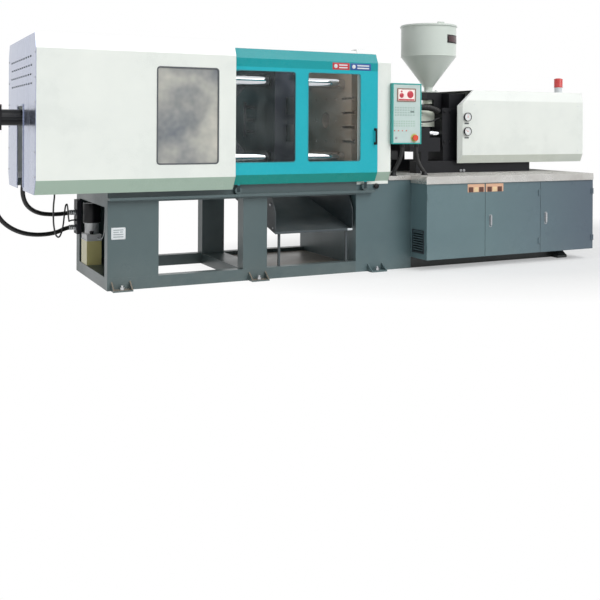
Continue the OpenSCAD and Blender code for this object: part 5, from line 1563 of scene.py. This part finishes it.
    def build_bolts(self) -> None:
        """Sets bolts on the carriage and its base, and screws on the barrel's guard and the cover."""
        head = [(0.014, 0.014), (0.013, 0.001), (0.0075, 0.0), (0.0075, -0.007)]
        bolt = Bench.turned("bolt", (2.33, -0.25, 1.24), Facing.FRONT, 0.012,
                            [(0.012, 0.012), (0.011, 0.001)], 24, 0.0006)
        fit(Bench.repeat("carriage_bolts", bolt, [(0.07, 0, 0), (0, 0, 0.32), (0.07, 0, 0.32)]), BLACK,
            "injection_carriage")
        bolt = Bench.turned("bolt", (2.0, -0.3, 0.937), Facing.FRONT, 0.014, head, 24, 0.0006)
        places = [(x, 0, 0) for x in (0.5, 0.54)]
        fit(Bench.repeat("base_bolts", bolt, places), STEEL, "machine")
        screw = Bench.turned("screw", (1.44, -0.105, 1.425), Facing.FRONT, 0.006,
                             [(0.006, 0.003), (0.004, 0.001)], 14, 0.0)
        places = [(x, 0, z) for x in (0.0, 0.35, 0.7) for z in (0.0, 0.095)][1:]
        fit(Bench.repeat("barrel_guard_screws", screw, places), STEEL, "injection_carriage")
        screw = Bench.turned("screw", (2.62, self.cover_y, 1.14), Facing.FRONT, 0.006,
                             [(0.006, 0.0015), (0.003, 0.001)], 14, 0.0)
        places = [(1.44, 0, 0), (0, 0, 0.5), (1.44, 0, 0.5)]
        fit(Bench.repeat("cover_screws", screw, places), PLATE, "injection_carriage")


@dataclass
class Clamp:
    """Bolts, keeper plates and tie bar wipers of the platens seen through the windows."""

    def build(self) -> None:
        """Makes the small pieces on the platens and the closing cylinder."""
        body = "moving_platen"
        head = [(0.017, 0.016), (0.016, 0.001), (0.009, 0.0), (0.009, -0.008)]
        bolt = Bench.turned("bolt", (0.515, -0.455, 1.25), Facing.RIGHT, 0.017, head, 24, 0.0006)
        fit(Bench.repeat("moving_platen_bolts", bolt,
                         [(0, 0, 0.42), (0, 0.91, 0), (0, 0.91, 0.42)]), STEEL, body)
        plate = Bench.block("keeper", (0.353, -0.5265, 1.257), (0.423, -0.504, 1.412), 0.002)
        fit(Bench.repeat("platen_keepers", plate, [(0, 0, 0.253)]), BLACK, body)
        flange = Bench.turned("bolt", (-0.815, -0.17, 1.29), Facing.LEFT, 0.018, head, 24, 0.0006)
        places = [(0, y, z) for y in (0.0, 0.34) for z in (0.0, 0.34)][1:]
        fit(Bench.repeat("cylinder_bolts", flange, places), STEEL, "machine")
        guide = Bench.turned("ring", (0.235, -0.355, 1.105), Facing.LEFT, 0.062,
                             [(0.062, 0.012), (0.058, 0.002), (0.0492, 0.0), (0.0492, -0.01)], 48)
        places = [(0, y, z) for y in (0.0, 0.71) for z in (0.0, 0.71)][1:]
        fit(Bench.repeat("tie_bar_wipers", guide, places), BLACK, body)


def finish_nodes() -> None:
    """Gives each CAD node that stays in view its finish."""
    for name, finish in NODE_FINISHES.items():
        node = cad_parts[name]
        if not node.material_slots:
            node.data.materials.append(None)
        for slot in node.material_slots:
            slot.material = finish.material()
        log.info("%s finished as %s", name, finish.name)


def main() -> None:
    """Builds the scene in order."""
    logging.basicConfig(level=logging.INFO, format="%(message)s")
    for part in (Studio(), Lines()):
        part.build()
    finish_nodes()
    for part in (ClampGuards(), SafetyDoor(), Bed(), Cabinet(), ControlPanel(), InjectionUnit(), Clamp()):
        part.build()
        log.info("%s built", type(part).__name__)


if __name__ == "__main__":
    main()
